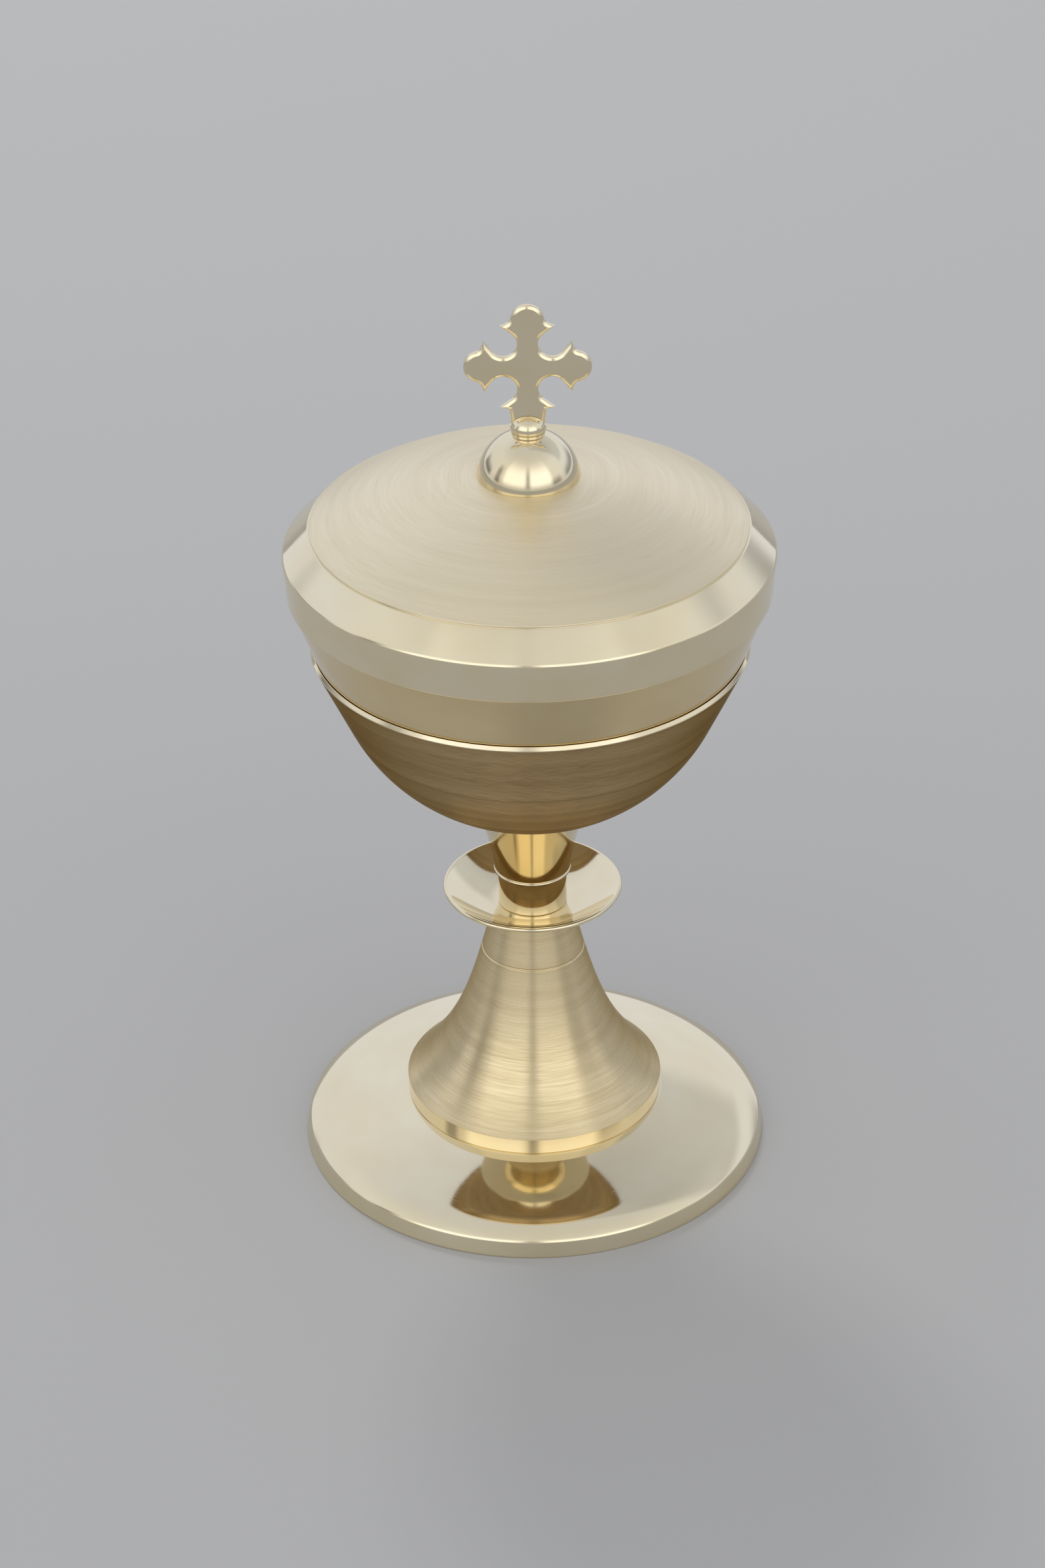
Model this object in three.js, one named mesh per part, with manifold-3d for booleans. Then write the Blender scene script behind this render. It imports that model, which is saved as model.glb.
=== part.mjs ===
// Ciborium: a lidded cup on a trumpet stem and a low domed foot, with a cross on the lid.
// Units are millimetres, +Z is up, and the origin is the middle of the face that it stands on.
// Every piece but the nuts and the cross is turned, so it is a profile (radius, height) carried
// round the Z axis. Heights stack up from the foot, so a longer piece lifts what stands on it.
import * as THREE from "three";
import { mergeVertices } from "three/addons/utils/BufferGeometryUtils.js";
import Module from "manifold-3d";

const wasm = await Module();
wasm.setup();

// Steps round the axis, and along the curves of a profile
const TURNED_STEPS = 36;
const SMALL_STEPS = 24;
const FOOT_STEPS = 3; // along each of the foot's three arcs
const BELL_STEPS = 9;
const BELL_STEP_CROWDING = 1.4; // above 1, the steps crowd towards the band, where the bell curls
const SAUCER_STEPS = 4;
const NECK_STEPS = 5;
const NECK_SEAT_STEPS = 2;
const BOWL_STEPS = 7;
const LID_CORNER_STEPS = 3;
const DOME_STEPS = 7;
const BALL_STEPS = 7;
const BEAD_SIDE_STEPS = 2;
const BEAD_CROWN_STEPS = 5;
const CROSS_TIP_STEPS = 5;
const CROSS_SCOOP_STEPS = 6;

// Fits between pieces
const SOLDER_GAP = 0.1; // between shells that are nested or soldered
const LID_SEAT_GAP = 0.2; // between the lip of the cup and the lid that rests on it
const LID_RING_CLEARANCE = 0.5; // between the lid's locating ring and the inside of the cup
const THREAD_GAP = 0.1; // between a threaded rod and the thread that it is screwed into
const BORE_CLEARANCE = 0.3; // between a rod and a plain hole that it passes through
const CUT_OVERRUN = 1; // how far a cutter reaches past the piece that it cuts

// Foot: a spun shell with a low crown, a rounded shoulder and a turned-in hem
const FOOT_RADIUS = 56.2;
const FOOT_WALL_HEIGHT = 3.65;
const FOOT_WALL_LEAN = 0.85;
const FOOT_CORNER_RADIUS = 1.4;
const FOOT_SHOULDER_RADIUS = 16.4;
const FOOT_SHOULDER_WIDTH = 7.2;
const FOOT_CROWN_RADIUS = 170;
const FOOT_SHEET = 1.0;
const FOOT_HEM_WIDTH = 3.0;
const FOOT_HEM_HEIGHT = 1.6;

// Bell: the brushed trumpet on the foot, with a polished band at its lower edge
const BELL_RADIUS = 30.9;
const BELL_BAND_HEIGHT = 4.0;
const BELL_FLARE_HEIGHT = 47.4;
const BELL_TOP_RADIUS = 9.4;
const BELL_CONE_SHARE = 0.57; // share of the flare that is a plain cone, the rest curls outwards
const BELL_CURL_POWER = 4;
const BELL_WALL = 1.5;
const BELL_CAP = 3.0;
const BELL_LINE_DEPTH = 0.2;
const BELL_LINE_HEIGHT = 36.3; // of the turned line, above the band
const BELL_LINE_WIDTH = 0.6;
const SEAT_MARGIN = 0.1; // flat land outside the bell's edge

// Knop: a thin dish round the stem
const SAUCER_RADIUS = 21.3;
const SAUCER_RISE = 4.7;
const SAUCER_SHEET = 1.2;
const SAUCER_PAD = 1.5;
const SAUCER_CURL_POWER = 1.25;

// Collars between the knop and the bowl
const LOWER_COLLAR_RADIUS = 8.15;
const LOWER_COLLAR_HEIGHT = 8.8;
const NECK_RADIUS = 9.05;
const NECK_TOP_RADIUS = 14.0;
const NECK_HEIGHT = 19.5; // from the lower collar to the bowl, at the neck's outer edge
const NECK_FLARE_POWER = 1.6;
const COLLAR_EDGE = 0.3;

// Bowl: the brushed outer shell, a round bottom that runs into a cone
const BOWL_ARC_RADIUS = 46;
const BOWL_ARC_OFFSET = 1.11; // distance of the arc's centre from the axis
const BOWL_CONE_ANGLE = 25; // degrees from upright
const BOWL_RIM_HEIGHT = 42.7; // of the shell's rim, above the neck's upper edge
const BOWL_SHEET = 1.0;
const BOWL_RIM_CHAMFER = 0.8;
const BOWL_RIM_LAND = 0.15; // level land between the chamfer and the cup

// Cup: the gilded inner cup, whose polished band stands above the bowl's rim
const CUP_BAND_HEIGHT = 14.3;
const CUP_BAND_ANGLE = 20.5; // degrees from upright
const CUP_SHEET = 0.9;
const CUP_FLOOR_RADIUS = 8.0;
const CUP_BOSS_RADIUS = 6.0;
const CUP_BOSS_LENGTH = 9.0;

// Lid: an upright band, a polished bevel, a small step and a brushed dome
const LID_BAND_HEIGHT = 8.6;
const LID_BAND_LEAN = 0.65;
const LID_OVERHANG = 0.43; // of the lid's lower edge past the lip of the cup
const LID_CORNER_RADIUS = 1.3;
const LID_BEVEL_ANGLE = 45; // degrees from level
const LID_BEVEL_WIDTH = 5.6;
const LID_STEP_HEIGHT = 0.4;
const LID_STEP_WIDTH = 0.35;
const LID_DOME_RISE = 12.43;
const LID_DOME_POWER = 2.5;
const LID_SHEET = 1.1;
const LID_RING_SHEET = 0.8;
const LID_RING_DEPTH = 5.2;
const LID_RING_SEAT = 4.0; // how far the ring reaches up inside the lid's band

// Finial: a half ball, a bead with a flattened crown, and the cross
const BOSS_RADIUS = 11.8; // on the lid
const BOSS_SINK = 1.2; // of the ball's centre below the lid's top
const BEAD_FOOT_RADIUS = 3.4;
const BEAD_FOOT_HEIGHT = 0.2;
const BEAD_GROOVE_DEPTH = 0.1;
const BEAD_RADIUS = 4.1;
const BEAD_CROWN_HEIGHT = 2.4; // of the bead above its widest part
const BEAD_SLOT_DEPTH = 2.7;
const BEAD_HOLE_RUNOUT = 0.2; // of the stud's hole past the slot's floor
const CROSS_CENTRE_ABOVE_BEAD = 11.6;
const CROSS_THICKNESS = 1.8;
const CROSS_BEVEL = 0.6;
const CROSS_SIDE_ARM = 14.3;
const CROSS_TOP_ARM = 14.9;
const CROSS_TIP_RADIUS = 3.7;
const CROSS_BARB_REACH = 9.85; // from the cross's centre to a barb, along its arm
const CROSS_BARB_SPREAD = 5.7; // of a barb from the arm's middle line
const CROSS_TIP_SWEEP = 80; // degrees of the round tip on each side of the arm's middle line
const CROSS_HOLLOW_REACH = 0.5; // of the hollow curve's middle beyond the barb
const CROSS_HOLLOW_SPREAD = 0.35; // of that point outside the tip's radius
const CROSS_SCOOP_RADIUS = 3.15;
const CROSS_WAIST = 4.7;
const CROSS_ANKLE_WIDTH = 8.2; // of the foot under the lower barbs
const CROSS_FOOT_WIDTH = 7.2; // of its end in the slot

// Fasteners
const ROD_RADIUS = 3.0;
const ROD_TAIL = 1.5; // of rod below its nut
const ROD_NUT_ACROSS = 10;
const ROD_NUT_HEIGHT = 5;
const ROD_WASHER_RADIUS = 9;
const ROD_WASHER_THICKNESS = 1.2;
const STUD_RADIUS = 2.0;
const STUD_TAIL = 1.0;
const STUD_NUT_ACROSS = 7;
const STUD_NUT_HEIGHT = 3.2;
const STUD_WASHER_RADIUS = 5;
const STUD_WASHER_THICKNESS = 1.0;
const FASTENER_EDGE = 0.3; // chamfer on rods, nuts and washers

// Finishes
const polished = new THREE.MeshStandardMaterial({
  color: 0xe6cf8c,
  roughness: 0.08,
  metalness: 1,
});
const brushed = new THREE.MeshStandardMaterial({
  color: 0xcdbb94,
  roughness: 0.38,
  metalness: 1,
});
const plainBrass = new THREE.MeshStandardMaterial({
  color: 0xc7a24e,
  roughness: 0.3,
  metalness: 1,
});

const radians = THREE.MathUtils.degToRad;
const point = (radius, height) => new THREE.Vector2(radius, height);

// Points on an arc of a profile, from one angle to another, in degrees from the level outward direction.
function arc(centre, radius, from, to, steps) {
  const points = [];
  for (let i = 0; i <= steps; i++) {
    const angle = radians(from + ((to - from) * i) / steps);
    points.push(
      point(centre.x + radius * Math.cos(angle), centre.y + radius * Math.sin(angle)),
    );
  }
  return points;
}

// An open profile moved sideways by a distance, to the right of its direction of travel.
function offset(points, distance) {
  const normals = points.slice(1).map((p, i) => {
    const along = p.clone().sub(points[i]).normalize();
    return point(along.y, -along.x);
  });
  return points.map((p, i) => {
    const before = normals[Math.max(i - 1, 0)];
    const after = normals[Math.min(i, normals.length - 1)];
    const middle = before.clone().add(after).normalize();
    return p.clone().addScaledVector(middle, distance / middle.dot(before));
  });
}

// A closed profile carried round the Z axis as a named mesh.
function turned(name, profile, material, steps = TURNED_STEPS) {
  let area = 0;
  profile.forEach((p, i) => {
    const next = profile[(i + 1) % profile.length];
    area += p.x * next.y - next.x * p.y;
  });
  const outline = area > 0 ? [...profile] : [...profile].reverse();
  outline.push(outline[0].clone());
  const geometry = new THREE.LatheGeometry(outline, steps);
  geometry.rotateX(Math.PI / 2);
  return named(name, geometry, material);
}

function named(name, geometry, material) {
  const mesh = new THREE.Mesh(geometry, material);
  mesh.name = name;
  return mesh;
}

// A ring with chamfered outer edges, for the collars and the washers. With no hole it is a rod.
function ringProfile(inner, outer, bottom, top, edge) {
  return [
    point(inner, bottom),
    point(outer - edge, bottom),
    point(outer, bottom + edge),
    point(outer, top - edge),
    point(outer - edge, top),
    point(inner, top),
  ];
}

// A geometry as a solid for a boolean cut, and a solid as a geometry again. At a pole on the axis
// some triangles have two corners in one place, and they are left out.
function toSolid(geometry) {
  const bare = geometry.clone();
  bare.deleteAttribute("normal");
  bare.deleteAttribute("uv");
  const merged = mergeVertices(bare, 1e-4);
  const corners = merged.index.array;
  const triangles = [];
  for (let i = 0; i < corners.length; i += 3) {
    const [a, b, c] = corners.slice(i, i + 3);
    if (a !== b && b !== c && c !== a) {
      triangles.push(a, b, c);
    }
  }
  return new wasm.Manifold(
    new wasm.Mesh({
      numProp: 3,
      vertProperties: new Float32Array(merged.attributes.position.array),
      triVerts: new Uint32Array(triangles),
    }),
  );
}

function toGeometry(solid) {
  const mesh = solid.getMesh();
  const geometry = new THREE.BufferGeometry();
  geometry.setAttribute("position", new THREE.BufferAttribute(mesh.vertProperties, 3));
  geometry.setIndex(new THREE.BufferAttribute(mesh.triVerts, 1));
  geometry.computeVertexNormals();
  return geometry;
}

// Foot: outline from the bell's seat, over the crown, the shoulder and the corner, down the wall
const seatRadius = BELL_RADIUS + SEAT_MARGIN;
const shoulderStart = FOOT_RADIUS - FOOT_SHOULDER_WIDTH;
const wallTopRadius = FOOT_RADIUS - FOOT_WALL_LEAN;
const wallAngle = THREE.MathUtils.radToDeg(Math.atan2(FOOT_WALL_LEAN, FOOT_WALL_HEIGHT));
const seatSlope = THREE.MathUtils.radToDeg(Math.asin(seatRadius / FOOT_CROWN_RADIUS));
const shoulderSlope = THREE.MathUtils.radToDeg(Math.asin(shoulderStart / FOOT_CROWN_RADIUS));

// The slope where the shoulder's arc hands over to the corner's arc, so that both end on the wall.
function cornerSlope() {
  const width = wallTopRadius - shoulderStart;
  const shoulder = FOOT_SHOULDER_RADIUS * Math.sin(radians(shoulderSlope));
  const corner = FOOT_CORNER_RADIUS * Math.cos(radians(wallAngle));
  const sine = (width + shoulder - corner) / (FOOT_SHOULDER_RADIUS - FOOT_CORNER_RADIUS);
  return THREE.MathUtils.radToDeg(Math.asin(sine));
}

// An arc that starts at a point with one slope (degrees below level) and ends with another.
function fallingArc(start, radius, fromSlope, toSlope) {
  const centre = point(
    start.x - radius * Math.sin(radians(fromSlope)),
    start.y - radius * Math.cos(radians(fromSlope)),
  );
  return arc(centre, radius, 90 - fromSlope, 90 - toSlope, FOOT_STEPS);
}

function footOutline() {
  const crown = fallingArc(point(seatRadius, 0), FOOT_CROWN_RADIUS, seatSlope, shoulderSlope);
  const handover = cornerSlope();
  const shoulder = fallingArc(crown.at(-1), FOOT_SHOULDER_RADIUS, shoulderSlope, handover);
  const corner = fallingArc(shoulder.at(-1), FOOT_CORNER_RADIUS, handover, 90 - wallAngle);
  const lift = FOOT_WALL_HEIGHT - corner.at(-1).y;
  return [...crown, ...shoulder.slice(1), ...corner.slice(1)].map((p) => point(p.x, p.y + lift));
}

const footTop = footOutline();
const seatHeight = footTop[0].y;
const rodBore = ROD_RADIUS + BORE_CLEARANCE;

function foot() {
  const skin = [point(rodBore, seatHeight), ...footTop, point(FOOT_RADIUS, 0)];
  const lining = offset(skin, FOOT_SHEET).slice(1, -1);
  const share = (FOOT_WALL_HEIGHT - FOOT_HEM_HEIGHT) / FOOT_WALL_HEIGHT;
  const hemTop = point(wallTopRadius + FOOT_WALL_LEAN * share - FOOT_SHEET, FOOT_HEM_HEIGHT);
  return turned(
    "base_shell",
    [
      ...skin,
      point(FOOT_RADIUS - FOOT_HEM_WIDTH, 0),
      point(FOOT_RADIUS - FOOT_HEM_WIDTH, FOOT_HEM_HEIGHT),
      hemTop,
      ...lining.reverse(),
      point(rodBore, seatHeight - FOOT_SHEET),
    ],
    polished,
  );
}

// Bell
const bandTop = seatHeight + BELL_BAND_HEIGHT;
const bellTop = bandTop + BELL_FLARE_HEIGHT;

function bellRadius(height) {
  const fall = (bellTop - height) / BELL_FLARE_HEIGHT;
  const curl = (1 - BELL_CONE_SHARE) * fall ** BELL_CURL_POWER + BELL_CONE_SHARE * fall;
  return BELL_TOP_RADIUS + (BELL_RADIUS - BELL_TOP_RADIUS) * curl;
}

function bell() {
  const flare = [];
  for (let i = 0; i <= BELL_STEPS; i++) {
    const height = bandTop + BELL_FLARE_HEIGHT * (i / BELL_STEPS) ** BELL_STEP_CROWDING;
    flare.push(point(bellRadius(height), height));
  }
  const line = [-1, 0, 1].map((side) => {
    const height = bandTop + BELL_LINE_HEIGHT + (side * BELL_LINE_WIDTH) / 2;
    return point(bellRadius(height) - (side === 0 ? BELL_LINE_DEPTH : 0), height);
  });
  const skin = [...flare, ...line].sort((a, b) => a.y - b.y);
  const roof = bellTop - BELL_CAP;
  const lining = flare
    .filter((p) => p.y < roof - BELL_WALL)
    .map((p) => point(p.x - BELL_WALL, p.y));
  return turned(
    "bell_stem",
    [
      point(BELL_RADIUS, seatHeight),
      ...skin,
      point(rodBore, bellTop),
      point(rodBore, roof),
      point(bellRadius(roof) - BELL_WALL, roof),
      ...lining.reverse(),
      point(BELL_RADIUS - BELL_WALL, seatHeight),
    ],
    brushed,
  );
}

// Knop
const padTop = bellTop + SAUCER_PAD;

function saucer() {
  const dish = [];
  for (let i = 0; i <= SAUCER_STEPS; i++) {
    const share = i / SAUCER_STEPS;
    dish.push(
      point(
        LOWER_COLLAR_RADIUS + (SAUCER_RADIUS - SAUCER_SHEET / 2 - LOWER_COLLAR_RADIUS) * share,
        padTop + SAUCER_RISE * share ** SAUCER_CURL_POWER,
      ),
    );
  }
  const underside = offset(dish, SAUCER_SHEET).filter((p) => p.y > bellTop);
  const rim = dish.at(-1).clone().add(underside.at(-1)).multiplyScalar(0.5);
  return turned(
    "knop_saucer",
    [
      point(rodBore, bellTop),
      point(BELL_TOP_RADIUS, bellTop),
      ...underside,
      point(SAUCER_RADIUS, rim.y),
      ...dish.reverse(),
      point(rodBore, padTop),
    ],
    polished,
  );
}

// Collars
const neckFoot = padTop + LOWER_COLLAR_HEIGHT;
const neckTop = neckFoot + NECK_HEIGHT;

function lowerCollar() {
  const profile = ringProfile(rodBore, LOWER_COLLAR_RADIUS, padTop, neckFoot, COLLAR_EDGE);
  return turned("lower_collar", profile, polished);
}

// Bowl: the arc's centre lies so high that the arc meets the neck's outer edge
const bowlCentre = point(
  BOWL_ARC_OFFSET,
  neckTop + Math.sqrt(BOWL_ARC_RADIUS ** 2 - (NECK_TOP_RADIUS - BOWL_ARC_OFFSET) ** 2),
);
const rimHeight = neckTop + BOWL_RIM_HEIGHT;
const bossHole = CUP_BOSS_RADIUS + SOLDER_GAP;

// The angle on the bowl's arc of a point at a given radius.
function bowlAngle(radius, arcRadius) {
  return -THREE.MathUtils.radToDeg(Math.acos((radius - BOWL_ARC_OFFSET) / arcRadius));
}

// The bowl's outline moved inwards by an inset, from a radius near the axis up to a height.
function bowlOutline(inset, fromRadius, toHeight) {
  const radius = BOWL_ARC_RADIUS - inset;
  const start = bowlAngle(fromRadius, radius);
  const points = arc(bowlCentre, radius, start, -BOWL_CONE_ANGLE, BOWL_STEPS);
  const last = points.at(-1);
  const lean = Math.tan(radians(BOWL_CONE_ANGLE));
  points.push(point(last.x + (toHeight - last.y) * lean, toHeight));
  return points;
}

function neck() {
  const skin = [];
  for (let i = 0; i <= NECK_STEPS; i++) {
    const share = i / NECK_STEPS;
    const flare = (NECK_TOP_RADIUS - NECK_RADIUS) * share ** NECK_FLARE_POWER;
    skin.push(point(NECK_RADIUS + flare, neckFoot + NECK_HEIGHT * share));
  }
  skin.at(-1).y -= SOLDER_GAP;
  skin[0].x -= COLLAR_EDGE;
  skin.splice(1, 0, point(NECK_RADIUS, neckFoot + COLLAR_EDGE));
  const seat = arc(
    bowlCentre,
    BOWL_ARC_RADIUS + SOLDER_GAP,
    bowlAngle(NECK_TOP_RADIUS, BOWL_ARC_RADIUS),
    bowlAngle(bossHole, BOWL_ARC_RADIUS),
    NECK_SEAT_STEPS,
  ).slice(1);
  const recess = bossFoot - BORE_CLEARANCE;
  return turned(
    "upper_collar",
    [
      point(rodBore, neckFoot),
      ...skin,
      ...seat,
      point(seat.at(-1).x, recess),
      point(rodBore, recess),
    ],
    polished,
  );
}

function outerBowl() {
  const outside = bowlOutline(0, bossHole, rimHeight - BOWL_RIM_CHAMFER);
  const inside = bowlOutline(BOWL_SHEET, bossHole, rimHeight);
  const land = point(inside.at(-1).x + BOWL_RIM_LAND, rimHeight);
  return turned("outer_bowl", [...outside, land, ...inside.reverse()], brushed);
}

// Cup
const cupInset = BOWL_SHEET + SOLDER_GAP;
const lipHeight = rimHeight + CUP_BAND_HEIGHT;
const bandLean = Math.tan(radians(CUP_BAND_ANGLE));

function cupSkin() {
  const nested = bowlOutline(cupInset, CUP_FLOOR_RADIUS, rimHeight);
  const waist = nested.at(-1);
  return [
    point(0, nested[0].y),
    ...nested,
    point(waist.x + CUP_BAND_HEIGHT * bandLean, lipHeight),
  ];
}

const cupOutside = cupSkin();
const cupInside = offset(cupOutside, -CUP_SHEET);
cupInside[0].x = 0;
const lipRadius = cupOutside.at(-1).x;
const lipInner = lipRadius - CUP_SHEET / Math.cos(radians(CUP_BAND_ANGLE));
const cupFloor = cupOutside[0].y;
const bossTop = cupFloor - SOLDER_GAP;
const bossFoot = bossTop - CUP_BOSS_LENGTH;

function cup() {
  const inside = cupInside.slice(0, -1);
  return turned("cup", [...cupOutside, point(lipInner, lipHeight), ...inside.reverse()], polished);
}

function cupBoss() {
  const thread = ROD_RADIUS + THREAD_GAP;
  const profile = ringProfile(thread, CUP_BOSS_RADIUS, bossFoot, bossTop, COLLAR_EDGE);
  return turned("cup_boss", profile, plainBrass, SMALL_STEPS);
}

// Lid
const lidFoot = lipHeight + LID_SEAT_GAP;
const lidFootRadius = lipRadius + LID_OVERHANG;
const lidRadius = lidFootRadius + LID_BAND_LEAN;
const cornerHeight = lidFoot + LID_BAND_HEIGHT;
const lidLean = THREE.MathUtils.radToDeg(Math.atan2(LID_BAND_LEAN, LID_BAND_HEIGHT));

// The lid's outline from the lower edge to the pad under the boss, with or without its turned step.
function lidOutline(withStep) {
  const corner = arc(
    point(lidRadius - LID_CORNER_RADIUS, cornerHeight),
    LID_CORNER_RADIUS,
    -lidLean,
    90 - LID_BEVEL_ANGLE,
    LID_CORNER_STEPS,
  );
  const bevelFoot = corner.at(-1);
  const bevelTop = point(
    bevelFoot.x - LID_BEVEL_WIDTH,
    bevelFoot.y + LID_BEVEL_WIDTH * Math.tan(radians(LID_BEVEL_ANGLE)),
  );
  const domeRadius = bevelTop.x - LID_STEP_WIDTH;
  const domeFoot = bevelTop.y + LID_STEP_HEIGHT;
  const dome = [];
  for (let i = 0; i <= DOME_STEPS; i++) {
    const radius = domeRadius + ((BOSS_RADIUS - domeRadius) * i) / DOME_STEPS;
    const fall = (radius / domeRadius) ** LID_DOME_POWER;
    dome.push(point(radius, domeFoot + LID_DOME_RISE * (1 - fall)));
  }
  const step = withStep ? [bevelTop, point(domeRadius, bevelTop.y)] : [];
  return [point(lidFootRadius, lidFoot), ...corner, ...step, ...dome];
}

const lidOutside = lidOutline(true);
const lidPad = lidOutside.at(-1).y;
const studBore = STUD_RADIUS + BORE_CLEARANCE;

function lidCover() {
  const lining = offset([...lidOutline(false), point(studBore, lidPad)], -LID_SHEET);
  lining[0].y = lidFoot;
  return turned(
    "lid_cover",
    [...lidOutside, point(studBore, lidPad), ...lining.reverse()],
    brushed,
  );
}

// The ring under the lid: a sleeve soldered inside the band, and a skirt that follows the cup's inside
function locatingRing() {
  const sleeve = lidFootRadius - LID_SHEET - SOLDER_GAP;
  const skirtTop = Math.min(lipInner - LID_RING_CLEARANCE, sleeve);
  const skirtFoot = skirtTop - LID_RING_DEPTH * bandLean;
  const bottom = lipHeight - LID_RING_DEPTH;
  const top = lidFoot + LID_RING_SEAT;
  const shelf = lidFoot + LID_RING_SHEET;
  return turned(
    "lid_locating_ring",
    [
      point(skirtFoot, bottom),
      point(skirtTop, lipHeight),
      point(skirtTop, shelf - LID_RING_SHEET / 2),
      point(sleeve, shelf),
      point(sleeve, top),
      point(sleeve - LID_RING_SHEET, top),
      point(sleeve - LID_RING_SHEET, shelf + LID_RING_SHEET),
      point(skirtTop - LID_RING_SHEET, lidFoot),
      point(skirtFoot - LID_RING_SHEET, bottom),
    ],
    plainBrass,
  );
}

// Finial
const ballRadius = Math.hypot(BOSS_RADIUS, BOSS_SINK);
const ballCentre = point(0, lidPad - BOSS_SINK);
const bossCrown = ballCentre.y + Math.sqrt(ballRadius ** 2 - BEAD_FOOT_RADIUS ** 2);
const beadFootTop = bossCrown + BEAD_FOOT_HEIGHT;
const beadCentre = beadFootTop + Math.sqrt(BEAD_RADIUS ** 2 - BEAD_FOOT_RADIUS ** 2);
const beadTop = beadCentre + BEAD_CROWN_HEIGHT;
const slotFloor = beadTop - BEAD_SLOT_DEPTH;
const studTop = slotFloor - 2 * SOLDER_GAP;

function finialBoss() {
  const start = THREE.MathUtils.radToDeg(Math.asin(BOSS_SINK / ballRadius));
  const end = THREE.MathUtils.radToDeg(Math.acos(BEAD_FOOT_RADIUS / ballRadius));
  const ball = arc(ballCentre, ballRadius, start, end, BALL_STEPS);
  return turned(
    "finial_boss",
    [point(studBore, lidPad), ...ball, point(studBore, bossCrown)],
    polished,
  );
}

function bead() {
  const thread = STUD_RADIUS + THREAD_GAP;
  const low = THREE.MathUtils.radToDeg(Math.acos(BEAD_FOOT_RADIUS / BEAD_RADIUS));
  const side = arc(point(0, beadCentre), BEAD_RADIUS, -low, 0, BEAD_SIDE_STEPS);
  const crown = arc(point(0, 0), 1, 0, 90, BEAD_CROWN_STEPS)
    .slice(1, -1)
    .map((p) => point(p.x * BEAD_RADIUS, beadCentre + p.y * BEAD_CROWN_HEIGHT));
  const holeEnd = slotFloor + BEAD_HOLE_RUNOUT;
  const whole = turned(
    "finial_collar",
    [
      point(0, holeEnd),
      point(thread, holeEnd),
      point(thread, bossCrown),
      point(BEAD_FOOT_RADIUS, bossCrown),
      point(BEAD_FOOT_RADIUS - BEAD_GROOVE_DEPTH, beadFootTop - BEAD_FOOT_HEIGHT / 2),
      ...side,
      ...crown,
      point(0, beadTop),
    ],
    polished,
    SMALL_STEPS,
  );
  const slotHeight = BEAD_SLOT_DEPTH + CUT_OVERRUN;
  const slot = new THREE.BoxGeometry(
    2 * (BEAD_RADIUS + CUT_OVERRUN),
    CROSS_THICKNESS + 2 * SOLDER_GAP,
    slotHeight,
  );
  slot.translate(0, 0, slotFloor + slotHeight / 2);
  whole.geometry = toGeometry(toSolid(whole.geometry).subtract(toSolid(slot)));
  return whole;
}

// The cross is drawn arm by arm, each in the place of the right-hand arm, as points (out, across).
// An arm's end: a barb on each side, and between them a round tip that joins them in a hollow curve.
function armEnd(reach) {
  const centre = reach - CROSS_TIP_RADIUS;
  const half = [
    point(CROSS_BARB_REACH, CROSS_BARB_SPREAD),
    point(CROSS_BARB_REACH + CROSS_HOLLOW_REACH, CROSS_TIP_RADIUS + CROSS_HOLLOW_SPREAD),
  ];
  for (let i = 0; i <= CROSS_TIP_STEPS; i++) {
    const angle = radians(CROSS_TIP_SWEEP * (1 - i / CROSS_TIP_STEPS));
    half.push(
      point(centre + CROSS_TIP_RADIUS * Math.cos(angle), CROSS_TIP_RADIUS * Math.sin(angle)),
    );
  }
  const mirrored = half.map((p) => point(p.x, -p.y));
  return [...mirrored, ...half.slice(0, -1).reverse()];
}

// The lower arm's end: its barbs, and the foot that stands in the slot of the bead.
function footEnd(reach) {
  const half = [
    point(reach, CROSS_FOOT_WIDTH / 2),
    point(CROSS_BARB_REACH + CROSS_HOLLOW_REACH, CROSS_ANKLE_WIDTH / 2),
    point(CROSS_BARB_REACH, CROSS_BARB_SPREAD),
  ];
  const mirrored = half.map((p) => point(p.x, -p.y)).reverse();
  return [...mirrored, ...half];
}

// The scoop between an arm and the next one: half a turn round a centre on the diagonal.
function scoop() {
  const middle = CROSS_WAIST / 2 + CROSS_SCOOP_RADIUS;
  return arc(point(middle, middle), CROSS_SCOOP_RADIUS, -45, -225, CROSS_SCOOP_STEPS);
}

function crossOutline(footReach) {
  const ends = [
    armEnd(CROSS_SIDE_ARM),
    armEnd(CROSS_TOP_ARM),
    armEnd(CROSS_SIDE_ARM),
    footEnd(footReach),
  ];
  const centre = point(0, 0);
  return ends.flatMap((end, quarter) =>
    [...end, ...scoop()].map((p) => p.clone().rotateAround(centre, (quarter * Math.PI) / 2)),
  );
}

function cross() {
  const crossCentre = beadTop + CROSS_CENTRE_ABOVE_BEAD;
  const shape = new THREE.Shape(crossOutline(crossCentre - slotFloor - SOLDER_GAP));
  const geometry = new THREE.ExtrudeGeometry(shape, {
    depth: CROSS_THICKNESS - 2 * CROSS_BEVEL,
    bevelEnabled: true,
    bevelThickness: CROSS_BEVEL,
    bevelSize: CROSS_BEVEL,
    bevelOffset: -CROSS_BEVEL,
    bevelSegments: 1,
  });
  geometry.translate(0, 0, CROSS_BEVEL - CROSS_THICKNESS / 2);
  geometry.rotateX(Math.PI / 2);
  geometry.translate(0, 0, crossCentre);
  return named("cross", geometry, polished);
}

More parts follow.
